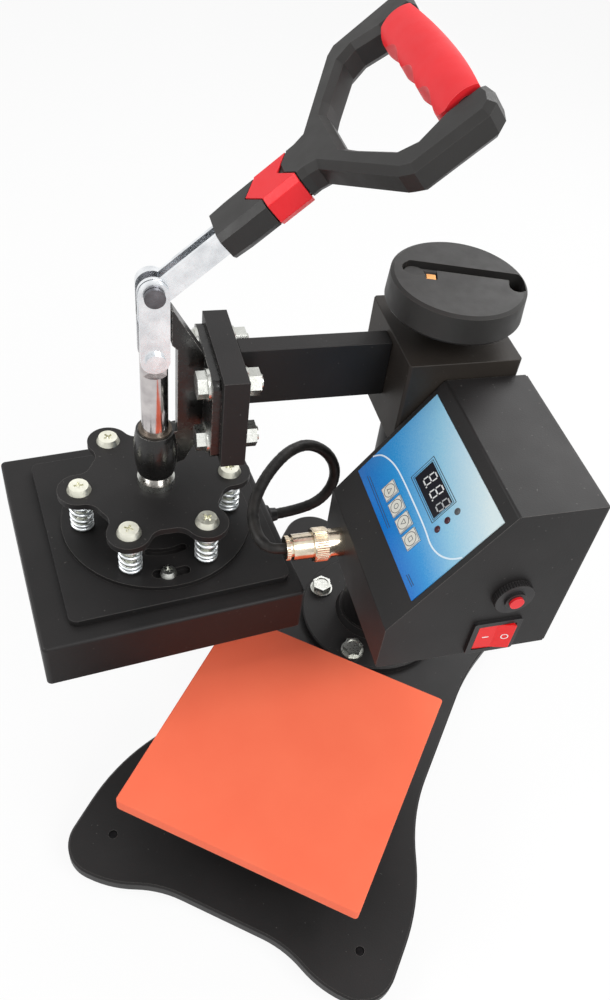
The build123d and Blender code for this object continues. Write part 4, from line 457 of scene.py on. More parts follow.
def seen_directly(tree):
    """1 for rays from the camera, off gloss or through glass, 0 for the rays that light things."""
    rays = node(tree, "ShaderNodeLightPath")
    first = rays.outputs["Is Camera Ray"]
    for name in ("Is Glossy Ray", "Is Transmission Ray"):
        links = {0: first, 1: rays.outputs[name]}
        first = node(tree, "ShaderNodeMath", links=links, operation="MAXIMUM").outputs[0]
    return first


floor_white = bpy.data.materials.new("floor_white")
floor_white.use_nodes = True
floor_tree = floor_white.node_tree
floor_tree.nodes.clear()
paper = node(floor_tree, "ShaderNodeBsdfDiffuse", {"Color": linear("F4F4F4")})
glow = node(floor_tree, "ShaderNodeEmission", {"Color": (1, 1, 1, 1), "Strength": 1.0})
share = node(
    floor_tree, "ShaderNodeMath", {1: FLOOR_GLOW}, {0: seen_directly(floor_tree)}, operation="MULTIPLY"
)
blend = node(
    floor_tree, "ShaderNodeMixShader", None, {0: share.outputs[0], 1: paper.outputs[0], 2: glow.outputs[0]}
)
node(floor_tree, "ShaderNodeOutputMaterial", links={"Surface": blend.outputs[0]})


def mesh_piece(name, corners, faces, material, smooth=False):
    """New piece from corners in metres and faces."""
    mesh = bpy.data.meshes.new(name)
    mesh.from_pydata([tuple(c) for c in corners], [], faces)
    mesh.materials.append(material)
    mesh.polygons.foreach_set("use_smooth", [smooth] * len(mesh.polygons))
    mesh.update()
    piece = bpy.data.objects.new(name, mesh)
    bpy.context.scene.collection.objects.link(piece)
    return piece


corners = [(x * FLOOR_HALF, y * FLOOR_HALF, FLOOR_UP) for x, y in ((-1, -1), (1, -1), (1, 1), (-1, 1))]
floor = mesh_piece("floor", [Vector(c) * MM for c in corners], [(0, 1, 2, 3)], floor_white)
floor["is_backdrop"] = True

world = bpy.data.worlds.new("white_room")
bpy.context.scene.world = world
world.use_nodes = True
world.node_tree.nodes.clear()
strength = ramp(world.node_tree, seen_directly(world.node_tree), 0, 1, ROOM_LIGHT, 1.0)
room = node(world.node_tree, "ShaderNodeBackground", {"Color": (1, 1, 1, 1)}, {"Strength": strength})
node(world.node_tree, "ShaderNodeOutputWorld", links={"Surface": room.outputs[0]})


def soft_lamp(name, at_mm, look_at_mm, size_mm, watts):
    """Square softbox turned to a place."""
    lamp_data = bpy.data.lights.new(name, "AREA")
    lamp_data.size = size_mm * MM
    lamp_data.energy = watts
    lamp = bpy.data.objects.new(name, lamp_data)
    bpy.context.scene.collection.objects.link(lamp)
    at = Vector(at_mm) * MM
    away = Vector(look_at_mm) * MM - at
    lamp.matrix_world = Matrix.Translation(at) @ away.to_track_quat("-Z", "Y").to_matrix().to_4x4()


soft_lamp("softbox_right", at_mm=(900, -300, 1000), look_at_mm=(0, 60, 50), size_mm=700, watts=11)
soft_lamp("softbox_left", at_mm=(-900, -500, 900), look_at_mm=(-60, 60, 50), size_mm=600, watts=7.5)
soft_lamp("softbox_back", at_mm=(200, 1000, 900), look_at_mm=(0, 100, 80), size_mm=600, watts=6)
print("floor at", FLOOR_UP, "mm and", len(bpy.data.lights), "softboxes")

# %% [markdown]
# The heater's cable leaves the round plug, rises in a loop and comes back down behind the platen into
# its gland. It is 196 mm of rubber cable in a woven sleeve, 7.2 mm thick, so it can't bend tightly: its
# line is one smooth NURBS spline through a short list of control points. Geometry Nodes then sweep a
# round profile along that spline, thinner where heat shrink grips it at the plug, and with slight
# wrinkles all along the sleeve.

# %% Cable
CABLE_ROUTE = (
    (99.3, 60.5, 98.5), (106.5, 60.5, 98.5), (112, 54.5, 99), (114, 43, 100), (111.5, 28, 102.5),
    (103, 14, 106.5), (92, 1.5, 109), (80, -9, 109.5), (66, -17, 106), (53, -17, 98), (46, -14, 86),
    (46.5, -11.5, 72.5), (54.5, -10, 59.5), (69.62, -9.76, 53), (84.54, -8.22, 53),
)
CABLE_THICK = 7.2
SHRINK_LENGTH = 11
# Heat shrink draws the sleeve in to this share of its thickness, and lets go within this length
SHRINK_SHARE = 0.86
SHRINK_EDGE = 1.2
# Least and greatest thickness of the wrinkled sleeve, and wrinkles in each millimetre
WRINKLE_LOW, WRINKLE_HIGH = 0.965, 1.025
WRINKLES = 0.42
CABLE_VALUES = {
    "Radius": CABLE_THICK / 2 * MM, "Shrink length": SHRINK_LENGTH * MM, "Step": 1.2 * MM,
}
SOCKET_KINDS = {
    float: "NodeSocketFloat", int: "NodeSocketInt", bpy.types.Material: "NodeSocketMaterial",
}


def route_curve(name, points):
    """Smooth open spline, of order 3, with its ends on the first and last point."""
    data = bpy.data.curves.new(name, "CURVE")
    data.dimensions = "3D"
    spline = data.splines.new("NURBS")
    spline.points.add(len(points) - 1)
    for point, place in zip(spline.points, points):
        point.co = (*place, 1)
    spline.order_u = 3
    spline.use_endpoint_u = True
    spline.resolution_u = 12
    made = bpy.data.objects.new(name, data)
    bpy.context.scene.collection.objects.link(made)
    return made


def curve_points(curve):
    """Points along a curve object that has no bevel, in metres."""
    graph = bpy.context.evaluated_depsgraph_get()
    mesh = bpy.data.meshes.new_from_object(curve.evaluated_get(graph))
    points = [v.co.copy() for v in mesh.vertices]
    bpy.data.meshes.remove(mesh)
    return points


def node_piece(name, source, tree, values, place=None):
    """Run a node tree on an object, keep the result as a plain mesh, and drop the modifier."""
    worker = source or bpy.data.objects.new(name + "_seed", bpy.data.meshes.new(name + "_seed"))
    if source is None:
        bpy.context.scene.collection.objects.link(worker)
    modifier = worker.modifiers.new("nodes", "NODES")
    modifier.node_group = tree
    sockets = {item.name: item.identifier for item in tree.interface.items_tree if item.in_out == "INPUT"}
    for label, value in values.items():
        modifier[sockets[label]] = value
    worker.update_tag()
    bpy.context.view_layer.update()
    graph = bpy.context.evaluated_depsgraph_get()
    mesh = bpy.data.meshes.new_from_object(worker.evaluated_get(graph))
    bpy.data.objects.remove(worker)
    if place is not None:
        mesh.transform(place)
    mesh.name = name
    piece = bpy.data.objects.new(name, mesh)
    bpy.context.scene.collection.objects.link(piece)
    return piece


def geometry_tree(name, inputs):
    """Empty geometry tree whose named inputs start at the given values."""
    tree = bpy.data.node_groups.new(name, "GeometryNodeTree")
    tree.interface.new_socket("Geometry", in_out="INPUT", socket_type="NodeSocketGeometry")
    tree.interface.new_socket("Geometry", in_out="OUTPUT", socket_type="NodeSocketGeometry")
    for label, value in inputs.items():
        kind = SOCKET_KINDS[type(value)]
        tree.interface.new_socket(label, in_out="INPUT", socket_type=kind).default_value = value
    return tree, node(tree, "NodeGroupInput").outputs


def close_tree(tree, geometry, material):
    """End a tree in real geometry with its material, which can be an input of the tree."""
    solid = node(tree, "GeometryNodeRealizeInstances", links={0: geometry})
    dressed = node(tree, "GeometryNodeSetMaterial", links={"Geometry": solid.outputs[0]})
    if isinstance(material, bpy.types.Material):
        dressed.inputs["Material"].default_value = material
    else:
        tree.links.new(material, dressed.inputs["Material"])
    node(tree, "NodeGroupOutput", links={0: dressed.outputs[0]})


# Woven polyester sleeve: a soft black, whose uneven bump stands for the weave
SLEEVE, tree, shader, place = start_material("braided_sleeve", IOR=1.45, Specular_IOR_Level=0.3)
tone = ramp(tree, noise(tree, place, 6, 3), 0.35, 0.65, 0, 1)
tree.links.new(mix_colour(tree, tone, "171615", "2A2826"), shader.inputs["Base Color"])
tree.links.new(ramp(tree, noise(tree, place, 4, 2), 0.3, 0.7, 0.4, 0.58), shader.inputs["Roughness"])
bump(tree, shader, noise(tree, place, 1.1, 3), 0.12)

cable_tree, given = geometry_tree("cable_sweep", CABLE_VALUES)
fine = node(cable_tree, "GeometryNodeResampleCurve", None,
            {"Curve": given["Geometry"], "Length": given["Step"]}, mode="LENGTH")
along = node(cable_tree, "GeometryNodeSplineParameter").outputs["Length"]
sleeve_start = node(
    cable_tree, "ShaderNodeMath", {1: SHRINK_EDGE * MM}, {0: given["Shrink length"]}, operation="ADD"
)
thick = node(
    cable_tree, "ShaderNodeMapRange", {"To Min": SHRINK_SHARE, "To Max": 1.0},
    {"Value": along, "From Min": given["Shrink length"], "From Max": sleeve_start.outputs[0]},
).outputs["Result"]
wave = node(cable_tree, "ShaderNodeTexNoise", {"Scale": WRINKLES, "Detail": 1.0}, noise_dimensions="1D")
millimetres = node(cable_tree, "ShaderNodeMath", {1: 1000}, {0: along}, operation="MULTIPLY").outputs[0]
cable_tree.links.new(millimetres, wave.inputs["W"])
ripple = ramp(cable_tree, wave.outputs[0], 0.2, 0.8, WRINKLE_LOW, WRINKLE_HIGH)
whole = node(cable_tree, "ShaderNodeMath", links={0: thick, 1: ripple}, operation="MULTIPLY").outputs[0]
ring = node(cable_tree, "GeometryNodeCurvePrimitiveCircle", {"Resolution": 20}, {"Radius": given["Radius"]})
tube = node(cable_tree, "GeometryNodeCurveToMesh", {"Fill Caps": True},
            {"Curve": fine.outputs[0], "Profile Curve": ring.outputs[0], "Scale": whole})
close_tree(cable_tree, tube.outputs[0], SLEEVE)

cable_route = route_curve("cable_route", [on_arm(*p) for p in CABLE_ROUTE])
cable_line = curve_points(cable_route)
cable = node_piece("heater_lead", cable_route, cable_tree, CABLE_VALUES)
cable.data.polygons.foreach_set("use_smooth", [True] * len(cable.data.polygons))
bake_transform(cable)
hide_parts("heater_cable")
print("cable line of", len(cable_line), "points,", len(cable.data.polygons), "faces")

# %% [markdown]
# Six compression springs sit on the hanger screws, between the spider and the slotted disc. Each is a
# helix of 2.3 mm wire whose end turns lie closer than the rest. A spiral primitive gives the helix, a
# float curve bunches its ends, and one instance on each point of a six cornered circle gives the set.

# %% Springs
SPRING_BASE_UP = 73.0
SPRING_HIGH = 26.3
# The wire's middle stays this far from the spring's two ends
END_GAP = 1.2
SPRING_VALUES = {
    "Coil radius": 5.9 * MM, "Wire radius": 1.15 * MM, "Height": (SPRING_HIGH - 2 * END_GAP) * MM,
    "Turns": 7.0, "Circle": 44.6 * MM, "Count": 6,
}
SPIDER_TURN = radians(2.2)
PLUNGER_AT = Vector((-129.313, 68.670, 0))
spider_x = Vector((OUT.x, OUT.y, 0))
spider_x.rotate(Matrix.Rotation(SPIDER_TURN, 3, "Z"))

spring_tree, given = geometry_tree("compression_springs", SPRING_VALUES)
helix = node(spring_tree, "GeometryNodeCurveSpiral", {"Resolution": 20}, {
    "Rotations": given["Turns"], "Start Radius": given["Coil radius"],
    "End Radius": given["Coil radius"], "Height": given["Height"],
})
share = node(spring_tree, "GeometryNodeSplineParameter").outputs["Factor"]
bunched = node(spring_tree, "ShaderNodeFloatCurve", links={"Value": share})
# The first and the last 18 hundredths of the turns rise by only a tenth of the height each
line = bunched.mapping.curves[0]
for corner, place in zip(line.points, ((0, 0), (1, 1))):
    corner.location = place
line.points.new(0.18, 0.10)
line.points.new(0.82, 0.90)
bunched.mapping.update()
shift = node(spring_tree, "ShaderNodeMath", links={0: bunched.outputs[0], 1: share}, operation="SUBTRACT")
rise = node(
    spring_tree, "ShaderNodeMath", links={0: shift.outputs[0], 1: given["Height"]}, operation="MULTIPLY"
)
upward = node(spring_tree, "ShaderNodeCombineXYZ", links={"Z": rise.outputs[0]})
links = {"Geometry": helix.outputs[0], "Offset": upward.outputs[0]}
settled = node(spring_tree, "GeometryNodeSetPosition", links=links)
wire = node(
    spring_tree, "GeometryNodeCurvePrimitiveCircle", {"Resolution": 12}, {"Radius": given["Wire radius"]}
)
coil = node(spring_tree, "GeometryNodeCurveToMesh", {"Fill Caps": True},
            {"Curve": settled.outputs[0], "Profile Curve": wire.outputs[0]})
seats = node(
    spring_tree, "GeometryNodeMeshCircle", None, {"Vertices": given["Count"], "Radius": given["Circle"]}
)
springs_set = node(spring_tree, "GeometryNodeInstanceOnPoints",
                   links={"Points": seats.outputs[0], "Instance": coil.outputs[0]})
# Zinc on spring wire: the brightest metal here, a little blue
SPRING_WIRE = metal("spring_steel_zinc", "F4F7F8", "E3E8EA", 0.36)
close_tree(spring_tree, springs_set.outputs[0], SPRING_WIRE)

spring_place = square_plane((PLUNGER_AT + UP * (SPRING_BASE_UP + END_GAP)) * MM, spider_x, UP)
springs = node_piece("coil_springs", None, spring_tree, SPRING_VALUES, spring_place)
springs.data.polygons.foreach_set("use_smooth", [True] * len(springs.data.polygons))
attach(springs, "plunger")
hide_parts("platen_springs")
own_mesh(springs)
print("springs", len(springs.data.polygons), "faces")

# %% [markdown]
# The pressing pad is a slab of dense red silicone sponge, cut square, and the heater has a pad of
# ceramic wool behind its plate. Both are soft, so their edges are rounded over, and the sides of the
# wool are drawn in a little. Rings of corners, one above the other, give each slab that shape.

# %% Pads
# The heater is turned a few degrees from the arm, and its wool is a little longer than wide
HEATER_TURN = atan2(-OUT.y, -OUT.x) + radians(5.9)
WOOL_HALF = (67.25, 72.25)
# The wool ends this far from the box of its node, below and above
WOOL_GAP = 0.4


def ring_faces(rows, count):
    """Faces that join rows of corners into a tube, with a cap on both ends."""
    faces = []
    for row in range(rows - 1):
        for k in range(count):
            a, b = row * count + k, row * count + (k + 1) % count
            faces.append((a, b, b + count, a + count))
    faces.append(tuple(reversed(range(count))))
    faces.append(tuple(range((rows - 1) * count, rows * count)))
    return faces


def soft_slab(name, low, high, turn, corner, lip, waist, material):
    """Closed slab between two corners, in millimetres: round corners, soft lips and a waist."""
    centre = (low + high) / 2
    half = (high - low) / 2
    across = []
    for quarter in range(4):
        for k in range(7):
            angle = pi / 2 * (quarter + k / 6)
            sx = 1 if quarter in (0, 3) else -1
            sy = 1 if quarter in (0, 1) else -1
            x = sx * (half.x - corner) + corner * cos(angle)
            y = sy * (half.y - corner) + corner * sin(angle)
            across.append((x, y))
    rings = []
    for k in range(5):
        angle = pi / 2 * k / 4
        rings.append((half.z - lip + lip * sin(angle), lip * (1 - cos(angle))))
    sides = [(-up, inset) for up, inset in reversed(rings)]
    middle = [(half.z * t, waist * (1 - t * t)) for t in (-0.45, 0, 0.45)]
    profile = sides + middle + rings
    spin = Matrix.Rotation(turn, 3, "Z")
    corners = []
    for up, inset in profile:
        for x, y in across:
            length = max(abs(x) / half.x, abs(y) / half.y)
            edge = Vector((x - inset * x / (half.x * length), y - inset * y / (half.y * length), up))
            corners.append((centre + spin @ edge) * MM)
    piece = mesh_piece(name, corners, ring_faces(len(profile), len(across)), material)
    for face in piece.data.polygons:
        face.use_smooth = len(face.vertices) == 4
    return piece


def box_mm(name):
    """A node's corners in millimetres."""
    low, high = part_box(name)
    return low / MM, high / MM


pad_low, pad_high = box_mm("silicone_pad")
pad = soft_slab(
    "sponge_pad", pad_low, pad_high, turn=0, corner=2.0, lip=0.7, waist=0.0, material=SILICONE
)
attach(pad, "base")
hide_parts("silicone_pad")
print("sponge pad", [round(s, 1) for s in pad_high - pad_low], "mm")

wool_low, wool_high = box_mm("insulation_pad")
wool_middle = (wool_low + wool_high) / 2
wool_half = Vector((*WOOL_HALF, (wool_high.z - wool_low.z) / 2 - WOOL_GAP))
wool = soft_slab(
    "wool_pad", wool_middle - wool_half, wool_middle + wool_half,
    turn=HEATER_TURN, corner=4.0, lip=3.0, waist=0.6, material=WOOL,
)
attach(wool, "heater")
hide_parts("insulation_pad")
print("wool pad", [round(s, 1) for s in wool_half * 2], "mm")

# %% [markdown]
# The panel on the control box is a printed polyester film over a thermostat. Its blue fades to white
# up the slope, with a fine printed grain, so two straight shares are multiplied: one up the slope and
# one across. The film has windows for the four keys, which dip into it when pressed, so it is a grid of
# cells with those cells left out, and Solidify gives it its 0.6 mm.

# %% Panel film
# The front of the box falls by 77.7 mm over 54.3 mm, from the middle of its top edge
SLOPE = atan2(77.7, 54.3)
SLOPE_TOP = (11, 86.5, 192.7)
# The middle of the film lies this far down the slope
FILM_DOWN_SLOPE = 40.6
FILM_THICK = 0.6
FILM_HALF = (48.25, 32.5)
KEY_HALF = 4.95
FIRST_KEY = (-18.8, -18.1)
KEY_PITCH = 12.05
KEY_SPOTS = [(FIRST_KEY[0] + KEY_PITCH * k, FIRST_KEY[1]) for k in range(4)]

slope_down = OUT * cos(SLOPE) - UP * sin(SLOPE)
slope_out = OUT * sin(SLOPE) + UP * cos(SLOPE)
panel_middle = on_arm(*SLOPE_TOP) + slope_down * FILM_DOWN_SLOPE * MM
panel_plane = square_plane(panel_middle, SIDE, slope_out)

# Printed polyester: a clear shine over ink that goes from strong blue to nearly white
film, tree, shader, place = start_material("polyester_film_blue", IOR=1.5, Roughness=0.24)
turn = panel_plane.to_euler()
held = {"Location": panel_plane.to_translation(), "Rotation": turn}
flat = node(tree, "ShaderNodeMapping", held, {"Vector": place}, vector_type="TEXTURE").outputs[0]
spot = node(tree, "ShaderNodeSeparateXYZ", links={0: flat}).outputs
up_share = ramp(tree, spot["Y"], -FILM_HALF[1] * MM, FILM_HALF[1] * MM, 0, 1)
across_share = ramp(tree, spot["X"], -FILM_HALF[0] * MM, FILM_HALF[0] * MM, 0.5, 1.12)
fade = node(tree, "ShaderNodeMath", links={0: up_share, 1: across_share}, operation="MULTIPLY").outputs[0]
grain = ramp(tree, noise(tree, flat, 0.8, 2), 0.3, 0.7, -0.035, 0.035)
grained = node(tree, "ShaderNodeMath", links={0: fade, 1: grain}, operation="ADD").outputs[0]
inks = node(tree, "ShaderNodeValToRGB", links={0: grained})
inks.color_ramp.elements[0].color = linear("0072CC")
inks.color_ramp.elements[1].color = linear("DDEFF2")
for at, ink in ((0.22, "2C97DC"), (0.55, "93CCE8")):
    inks.color_ramp.elements.new(at).color = linear(ink)
tree.links.new(inks.outputs[0], shader.inputs["Base Color"])
bump(tree, shader, noise(tree, flat, 0.8, 2), 0.01)

cuts_x = sorted({-FILM_HALF[0], FILM_HALF[0]} | {x + s * KEY_HALF for x, y in KEY_SPOTS for s in (-1, 1)})
cuts_y = [-FILM_HALF[1], KEY_SPOTS[0][1] - KEY_HALF, KEY_SPOTS[0][1] + KEY_HALF, FILM_HALF[1]]
film_corners = [panel_plane @ (Vector((x, y, FILM_THICK)) * MM) for y in cuts_y for x in cuts_x]
film_faces = []
for row in range(len(cuts_y) - 1):
    for k in range(len(cuts_x) - 1):
        window = row == 1 and k % 2 == 1
        if not window:
            a = row * len(cuts_x) + k
            film_faces.append((a, a + 1, a + 1 + len(cuts_x), a + len(cuts_x)))
panel_film = mesh_piece("panel_film", film_corners, film_faces, film)
thickness = panel_film.modifiers.new("thickness", "SOLIDIFY")
thickness.thickness = FILM_THICK * MM
thickness.offset = -1
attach(panel_film, "arm")
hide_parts("label_panel")
print("film", FILM_HALF[0] * 2, "x", FILM_HALF[1] * 2, "mm")

# %% [markdown]
# Ink on the film, the keys and the rocker is a layer a few hundredths of a millimetre thick. Each line
# is a strip of faces along its points, laid just clear of its surface, so that it has a clean edge at
# any distance. Strips are drawn flat, in millimetres, and then laid on their plane.

# %% Printed lines


def strip(points, width, closed=False):
    """Corners and faces of a flat line of one width along points."""
    count = len(points)
    corners = []
    for k, point in enumerate(points):
        here = Vector(point)
        before = Vector(points[k - 1])
        after = Vector(points[(k + 1) % count])
        if not closed and k == 0:
            before = here * 2 - after
        if not closed and k == count - 1:
            after = here * 2 - before
        first = (here - before).normalized()
        second = (after - here).normalized()
        across = Vector((-(first + second).y, (first + second).x)).normalized()
        reach = width / 2 / max(0.5, across.dot(Vector((-first.y, first.x))))
        corners += [here - across * reach, here + across * reach]
    faces = [
        (2 * k, 2 * ((k + 1) % count), 2 * ((k + 1) % count) + 1, 2 * k + 1)
        for k in range(count if closed else count - 1)
    ]
    return corners, faces


def patch(points):
    """Corners and one face of a flat filled shape, its points going anticlockwise."""
    return [Vector(p) for p in points], [tuple(range(len(points)))]


def circle(x, y, radius, count=32):
    """Points round a circle."""
    angles = [2 * pi * k / count for k in range(count)]
    return [(x + radius * cos(angle), y + radius * sin(angle)) for angle in angles]


def rectangle(x, y, half_x, half_y):
    """Corners of an upright rectangle, anticlockwise."""
    return [(x + i * half_x, y + j * half_y) for i, j in ((-1, -1), (1, -1), (1, 1), (-1, 1))]


def printed(name, body, plane, height_mm, shapes, material):
    """One piece of flat shapes, laid at a height over a plane and riding on a body."""
    corners, faces = [], []
    for shape_corners, shape_faces in shapes:
        start = len(corners)
        corners += [plane @ (Vector((c.x, c.y, height_mm)) * MM) for c in shape_corners]
        faces += [tuple(start + k for k in face) for face in shape_faces]
    piece = mesh_piece(name, corners, faces, material)
    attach(piece, body)
    return piece


# Screen inks and pad print: flat, with hardly any shine
INK_DARK = moulded("screen_ink_dark", "24303C", "1E2830", 0.5)
INK_WHITE = moulded("screen_ink_white", "E6F6FF", "DDF0FC", 0.4)
MARK_WHITE = moulded("pad_print_white", "F6F4F2", "EDEBE9", 0.45)
# Smoked acrylic: nearly black, and the glossiest thing on the panel
WINDOW_DARK = moulded("display_window", "2A2A30", "222228", 0.16, 3.0, 0.004)
# Segments as the photograph shows them, pale grey, and the dim ones of the last digit
SEGMENT = moulded("display_segment", "E9EAEA", "DADBDC", 0.35)
SEGMENT_DIM = moulded("display_segment_dim", "B9BCBF", "A4A7AA", 0.35)
# Tinted epoxy of lamps that are off
LAMP_RED = moulded("lamp_epoxy_red", "451E2A", "3A1823", 0.2)
LAMP_GREY = moulded("lamp_epoxy_grey", "55595C", "484C4F", 0.25)

INK_CLEAR = 0.03
INK_UP = FILM_THICK + INK_CLEAR
SWOOSH_WIDE = 0.95
LINE_WIDE = 0.38
swoosh_curve = route_curve("swoosh", [(x, y, 0) for x, y in (
    (-48.2, -19.7), (-45.7, -15.0), (-39.4, -11.4), (-29.8, -8.6), (-16.4, -8), (-4, -8), (10.6, -8),
    (21, -8.4), (29, -9.3), (36.5, -7.6), (42, -4.2), (45.8, -0.2), (48.2, 4.2),
)])
swoosh = [(p.x, p.y) for p in curve_points(swoosh_curve)]
bpy.data.objects.remove(swoosh_curve)
printed("panel_swoosh", "arm", panel_plane, INK_UP, [strip(swoosh, SWOOSH_WIDE)], INK_WHITE)
ruled = [
    [(-39.8, -28.2), (0.4, -28.9)], [(-38.6, -26.8), (0.9, -27.5)],
    [(33.2, -29.3), (41.5, -29.0)], [(33.7, -28.1), (41.7, -27.7)],
]
printed("panel_lines", "arm", panel_plane, INK_UP, [strip(ends, LINE_WIDE) for ends in ruled] + [
    # Two frames round the display, the outer one a little thicker
    strip(rectangle(1.4, 5.75, 17.1, 8.8), 0.42, True),
    strip(rectangle(1.6, 5.75, 15.9, 7.55), 0.36, True),
], INK_DARK)
print("swoosh of", len(swoosh), "points")

# %% [markdown]
# The thermostat's display is a dark window with three slanted seven segment digits behind it, switched
# on for the photograph. A digit is seven strips round two stacked cells. The last digit is dimmer, as in
# the photograph, and a point follows each of the first two. Beside it three small lamps stand proud.

# %% Display and lamps
WINDOW = (1.75, 5.75, 15.2, 6.85)
DIGIT_WIDE = 4.5
DIGIT_HIGH = 8.4
DIGIT_SLANT = 0.16
DIGIT_FROM = (-8.1, 2.9)
DIGIT_PITCH = 9.75
SEGMENT_WIDE = 0.85
SEGMENT_GAP = 0.5
POINT_RADIUS = 0.55
MIDDLE_LAMP = (23.9, 5.5)
LAMP_PITCH = 7.3
# Half the section of a lamp's dome: radius and height over the film
LAMP_DOME = [(1.95, -0.2), (1.95, 0.15), (1.8, 0.35), (1.35, 0.5), (0.7, 0.6), (0.0, 0.62)]

window_low, window_high = FILM_THICK - 0.1, FILM_THICK + 0.22
outline = rectangle(*WINDOW)
window_corners = [
    panel_plane @ (Vector((x, y, up)) * MM) for up in (window_low, window_high) for x, y in outline
]
window_faces = [(3, 2, 1, 0), (4, 5, 6, 7)] + [(k, (k + 1) % 4, (k + 1) % 4 + 4, k + 4) for k in range(4)]
display = mesh_piece("display_glass", window_corners, window_faces, WINDOW_DARK)
rounded = display.modifiers.new("edge", "BEVEL")
rounded.width = 0.12 * MM
rounded.segments = 2
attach(display, "arm")
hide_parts("display_module")


def digit(number):
    """Strips of the seven segments of one slanted digit."""
    left = DIGIT_FROM[0] + DIGIT_PITCH * number
    low = DIGIT_FROM[1]
    level = [low, low + DIGIT_HIGH / 2, low + DIGIT_HIGH]
    gap = SEGMENT_GAP
    bars = []
    for y in level:
        start = left + DIGIT_SLANT * (y - low)
        bars.append(strip([(start + gap, y), (start + DIGIT_WIDE - gap, y)], SEGMENT_WIDE))
    for lower, upper in zip(level, level[1:]):
        for side in (0, DIGIT_WIDE):
            foot = (left + side + DIGIT_SLANT * (lower + gap - low), lower + gap)
            head = (left + side + DIGIT_SLANT * (upper - gap - low), upper - gap)
            bars.append(strip([foot, head], SEGMENT_WIDE))
    return bars


points = []
for k in (0, 1):
    point_x = DIGIT_FROM[0] + DIGIT_WIDE + 1.1 + DIGIT_PITCH * k
    points.append(patch(circle(point_x, DIGIT_FROM[1] - 0.1, POINT_RADIUS, 12)))
DIGIT_UP = window_high + INK_CLEAR
printed("display_digits", "arm", panel_plane, DIGIT_UP, digit(0) + digit(1) + points, SEGMENT)
printed("display_last_digit", "arm", panel_plane, DIGIT_UP, digit(2), SEGMENT_DIM)


def turned(name, body, plane, profile, material, count=28):
    """Piece turned on a lathe: radius and height pairs, in millimetres, over a plane."""
    corners = []
    for radius, height in profile:
        for x, y in circle(0, 0, max(radius, 0.02), count):
            corners.append(plane @ (Vector((x, y, height)) * MM))
    piece = mesh_piece(name, corners, ring_faces(len(profile), count), material, smooth=True)
    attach(piece, body)
    return piece


for k, material in enumerate((LAMP_GREY, LAMP_RED, LAMP_RED)):
    lamp_at = Vector((MIDDLE_LAMP[0], MIDDLE_LAMP[1] + LAMP_PITCH * (1 - k), FILM_THICK))
    lamp_plane = panel_plane @ Matrix.Translation(lamp_at * MM)
    turned(f"panel_lamp_{k + 1}", "arm", lamp_plane, LAMP_DOME, material)
print("display and 3 lamps")

# %% [markdown]
# The four keys are film domes with printed symbols: a triangle up, a plain ring, a triangle down and a
# square, each inside a ring and a square border. The rocker has a line for on and a ring for off. The
# ink rides on the key or rocker that carries it, so it goes down with it.

# %% Ink on the keys and the rocker
KEY_TOP = 1.5
SYMBOL_LINE = 0.34
symbols = {
    "key_up": [(0, 1.7), (-1.6, -1.2), (1.6, -1.2)],
    "key_set": circle(0, 0, 1.5, 24),
    "key_down": [(0, -1.7), (1.6, 1.2), (-1.6, 1.2)],
    "key_stop": rectangle(0, 0, 1.25, 1.35),
}
for (name, symbol), (x, y) in zip(symbols.items(), KEY_SPOTS):
    key_plane = panel_plane @ Matrix.Translation(Vector((x, y, 0)) * MM)
    # The symbol, the ring round it and a thin square border
    lines = [strip(symbol, SYMBOL_LINE, True)]
    lines += [strip(circle(0, 0, 3.9), 0.36, True), strip(rectangle(0, 0, 4.6, 4.6), 0.22, True)]
    printed(f"{name}_ink", name, key_plane, KEY_TOP + 0.02, lines, INK_DARK)

ROCKER_AT = (-1.5, 138.5, 96)
# Each slope of the rocker: its two ends, out along the arm and sideways, and how far along its mark is
rocker_slopes = {"on": ((0, 1.6), (10.6, 1.2), 5.0), "off": ((-10.6, 4.0), (0, 1.6), 4.6)}
for name, (start, end, along) in rocker_slopes.items():
    run = (Vector(end) - Vector(start)).normalized()
    x_dir = OUT * run.x + SIDE * run.y
    normal = SIDE * run.x - OUT * run.y
    at = Vector(start) + run * along
    middle = on_arm(ROCKER_AT[0] + at.x, ROCKER_AT[1] + at.y, ROCKER_AT[2])
    rocker_plane = square_plane(middle, x_dir, normal)
    mark = strip([(-1.9, 0), (1.9, 0)], 0.75) if name == "on" else strip(circle(0, 0, 1.95), 0.6, True)
    printed(f"rocker_mark_{name}", "rocker", rocker_plane, INK_CLEAR, [mark], MARK_WHITE)
print("ink on", len(symbols), "keys and the rocker")

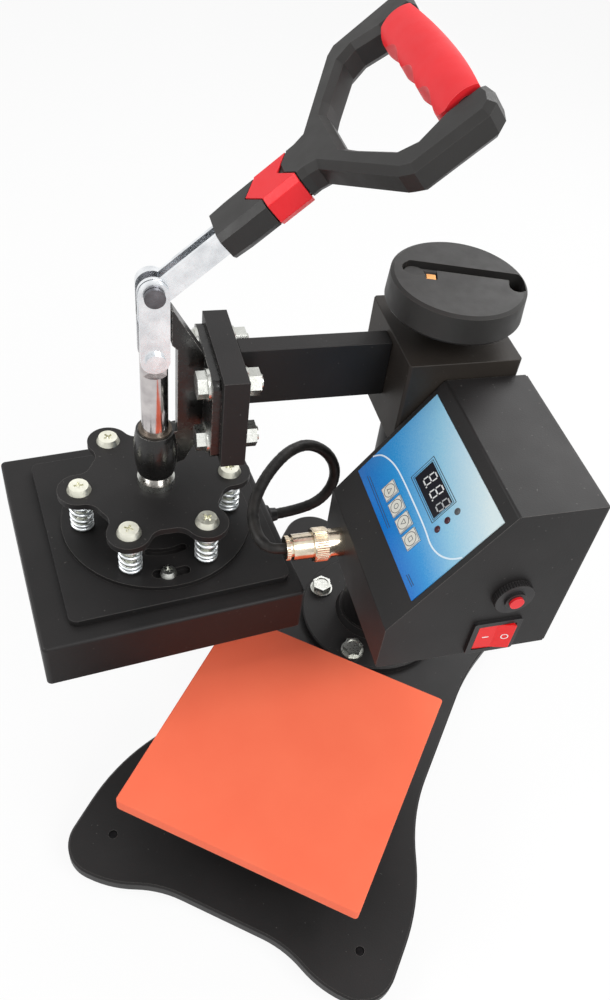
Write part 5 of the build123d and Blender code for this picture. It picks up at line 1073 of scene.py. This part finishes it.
# %% [markdown]
# The connector's coupling ring, its clamp nut and the breaker's ring are knurled so that fingers grip
# them. A straight knurl is a row of small ridges round a ring, all alike, so one ridge is instanced on
# the points of a circle and then made real.

# %% Knurled rings
# The plug starts here on the arm, and its two knurled rings lie further out
PLUG_AT = (65.3, 60.5, 98.5)
# Place on the arm, axis, radius, radius of one ridge, height, number of ridges and finish
knurls = {
    "coupling_knurl": ((PLUG_AT[0] + 13.5, *PLUG_AT[1:]), OUT, 9.65, 0.5, 7.2, 46, NICKEL),
    "clamp_knurl": ((PLUG_AT[0] + 32.75, *PLUG_AT[1:]), OUT, 6.8, 0.45, 2.1, 30, NICKEL),
    "breaker_knurl": ((-3, 140.5, 131.5), SIDE, 10.85, 0.5, 3.4, 44, SWITCH_BLACK),
}


def knurl_values(radius, ridge, height, count, finish):
    """Inputs of the knurl tree from sizes in millimetres."""
    return {
        "Radius": radius * MM, "Ridge": ridge * MM, "Height": height * MM,
        "Count": count, "Finish": finish,
    }


knurl_tree, given = geometry_tree("straight_knurl", knurl_values(*knurls["coupling_knurl"][2:]))
ridge = node(knurl_tree, "GeometryNodeMeshCylinder", {"Vertices": 6},
             {"Radius": given["Ridge"], "Depth": given["Height"]})
round_points = node(knurl_tree, "GeometryNodeMeshCircle", None,
                    {"Vertices": given["Count"], "Radius": given["Radius"]})
ridges = node(knurl_tree, "GeometryNodeInstanceOnPoints",
              links={"Points": round_points.outputs[0], "Instance": ridge.outputs[0]})
close_tree(knurl_tree, ridges.outputs[0], given["Finish"])

for name, (at, axis, *sizes) in knurls.items():
    place = square_plane(on_arm(*at), UP, axis)
    knurl = node_piece(name, None, knurl_tree, knurl_values(*sizes), place)
    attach(knurl, "arm")
    print(name, len(knurl.data.polygons), "faces")

# %% [markdown]
# The last cell puts the box of the construction model beside the box of the dressed press, because a
# finish must not change the size of the thing, and prints the size of the dressed press.

# %% Size and finish
shown_low, shown_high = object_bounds()
sizes = {
    "model": [list(model_low), list(model_high)],
    "visual": [list(shown_low), list(shown_high)],
}
print("dressed press", [round(s / MM, 1) for s in shown_high - shown_low], "mm")
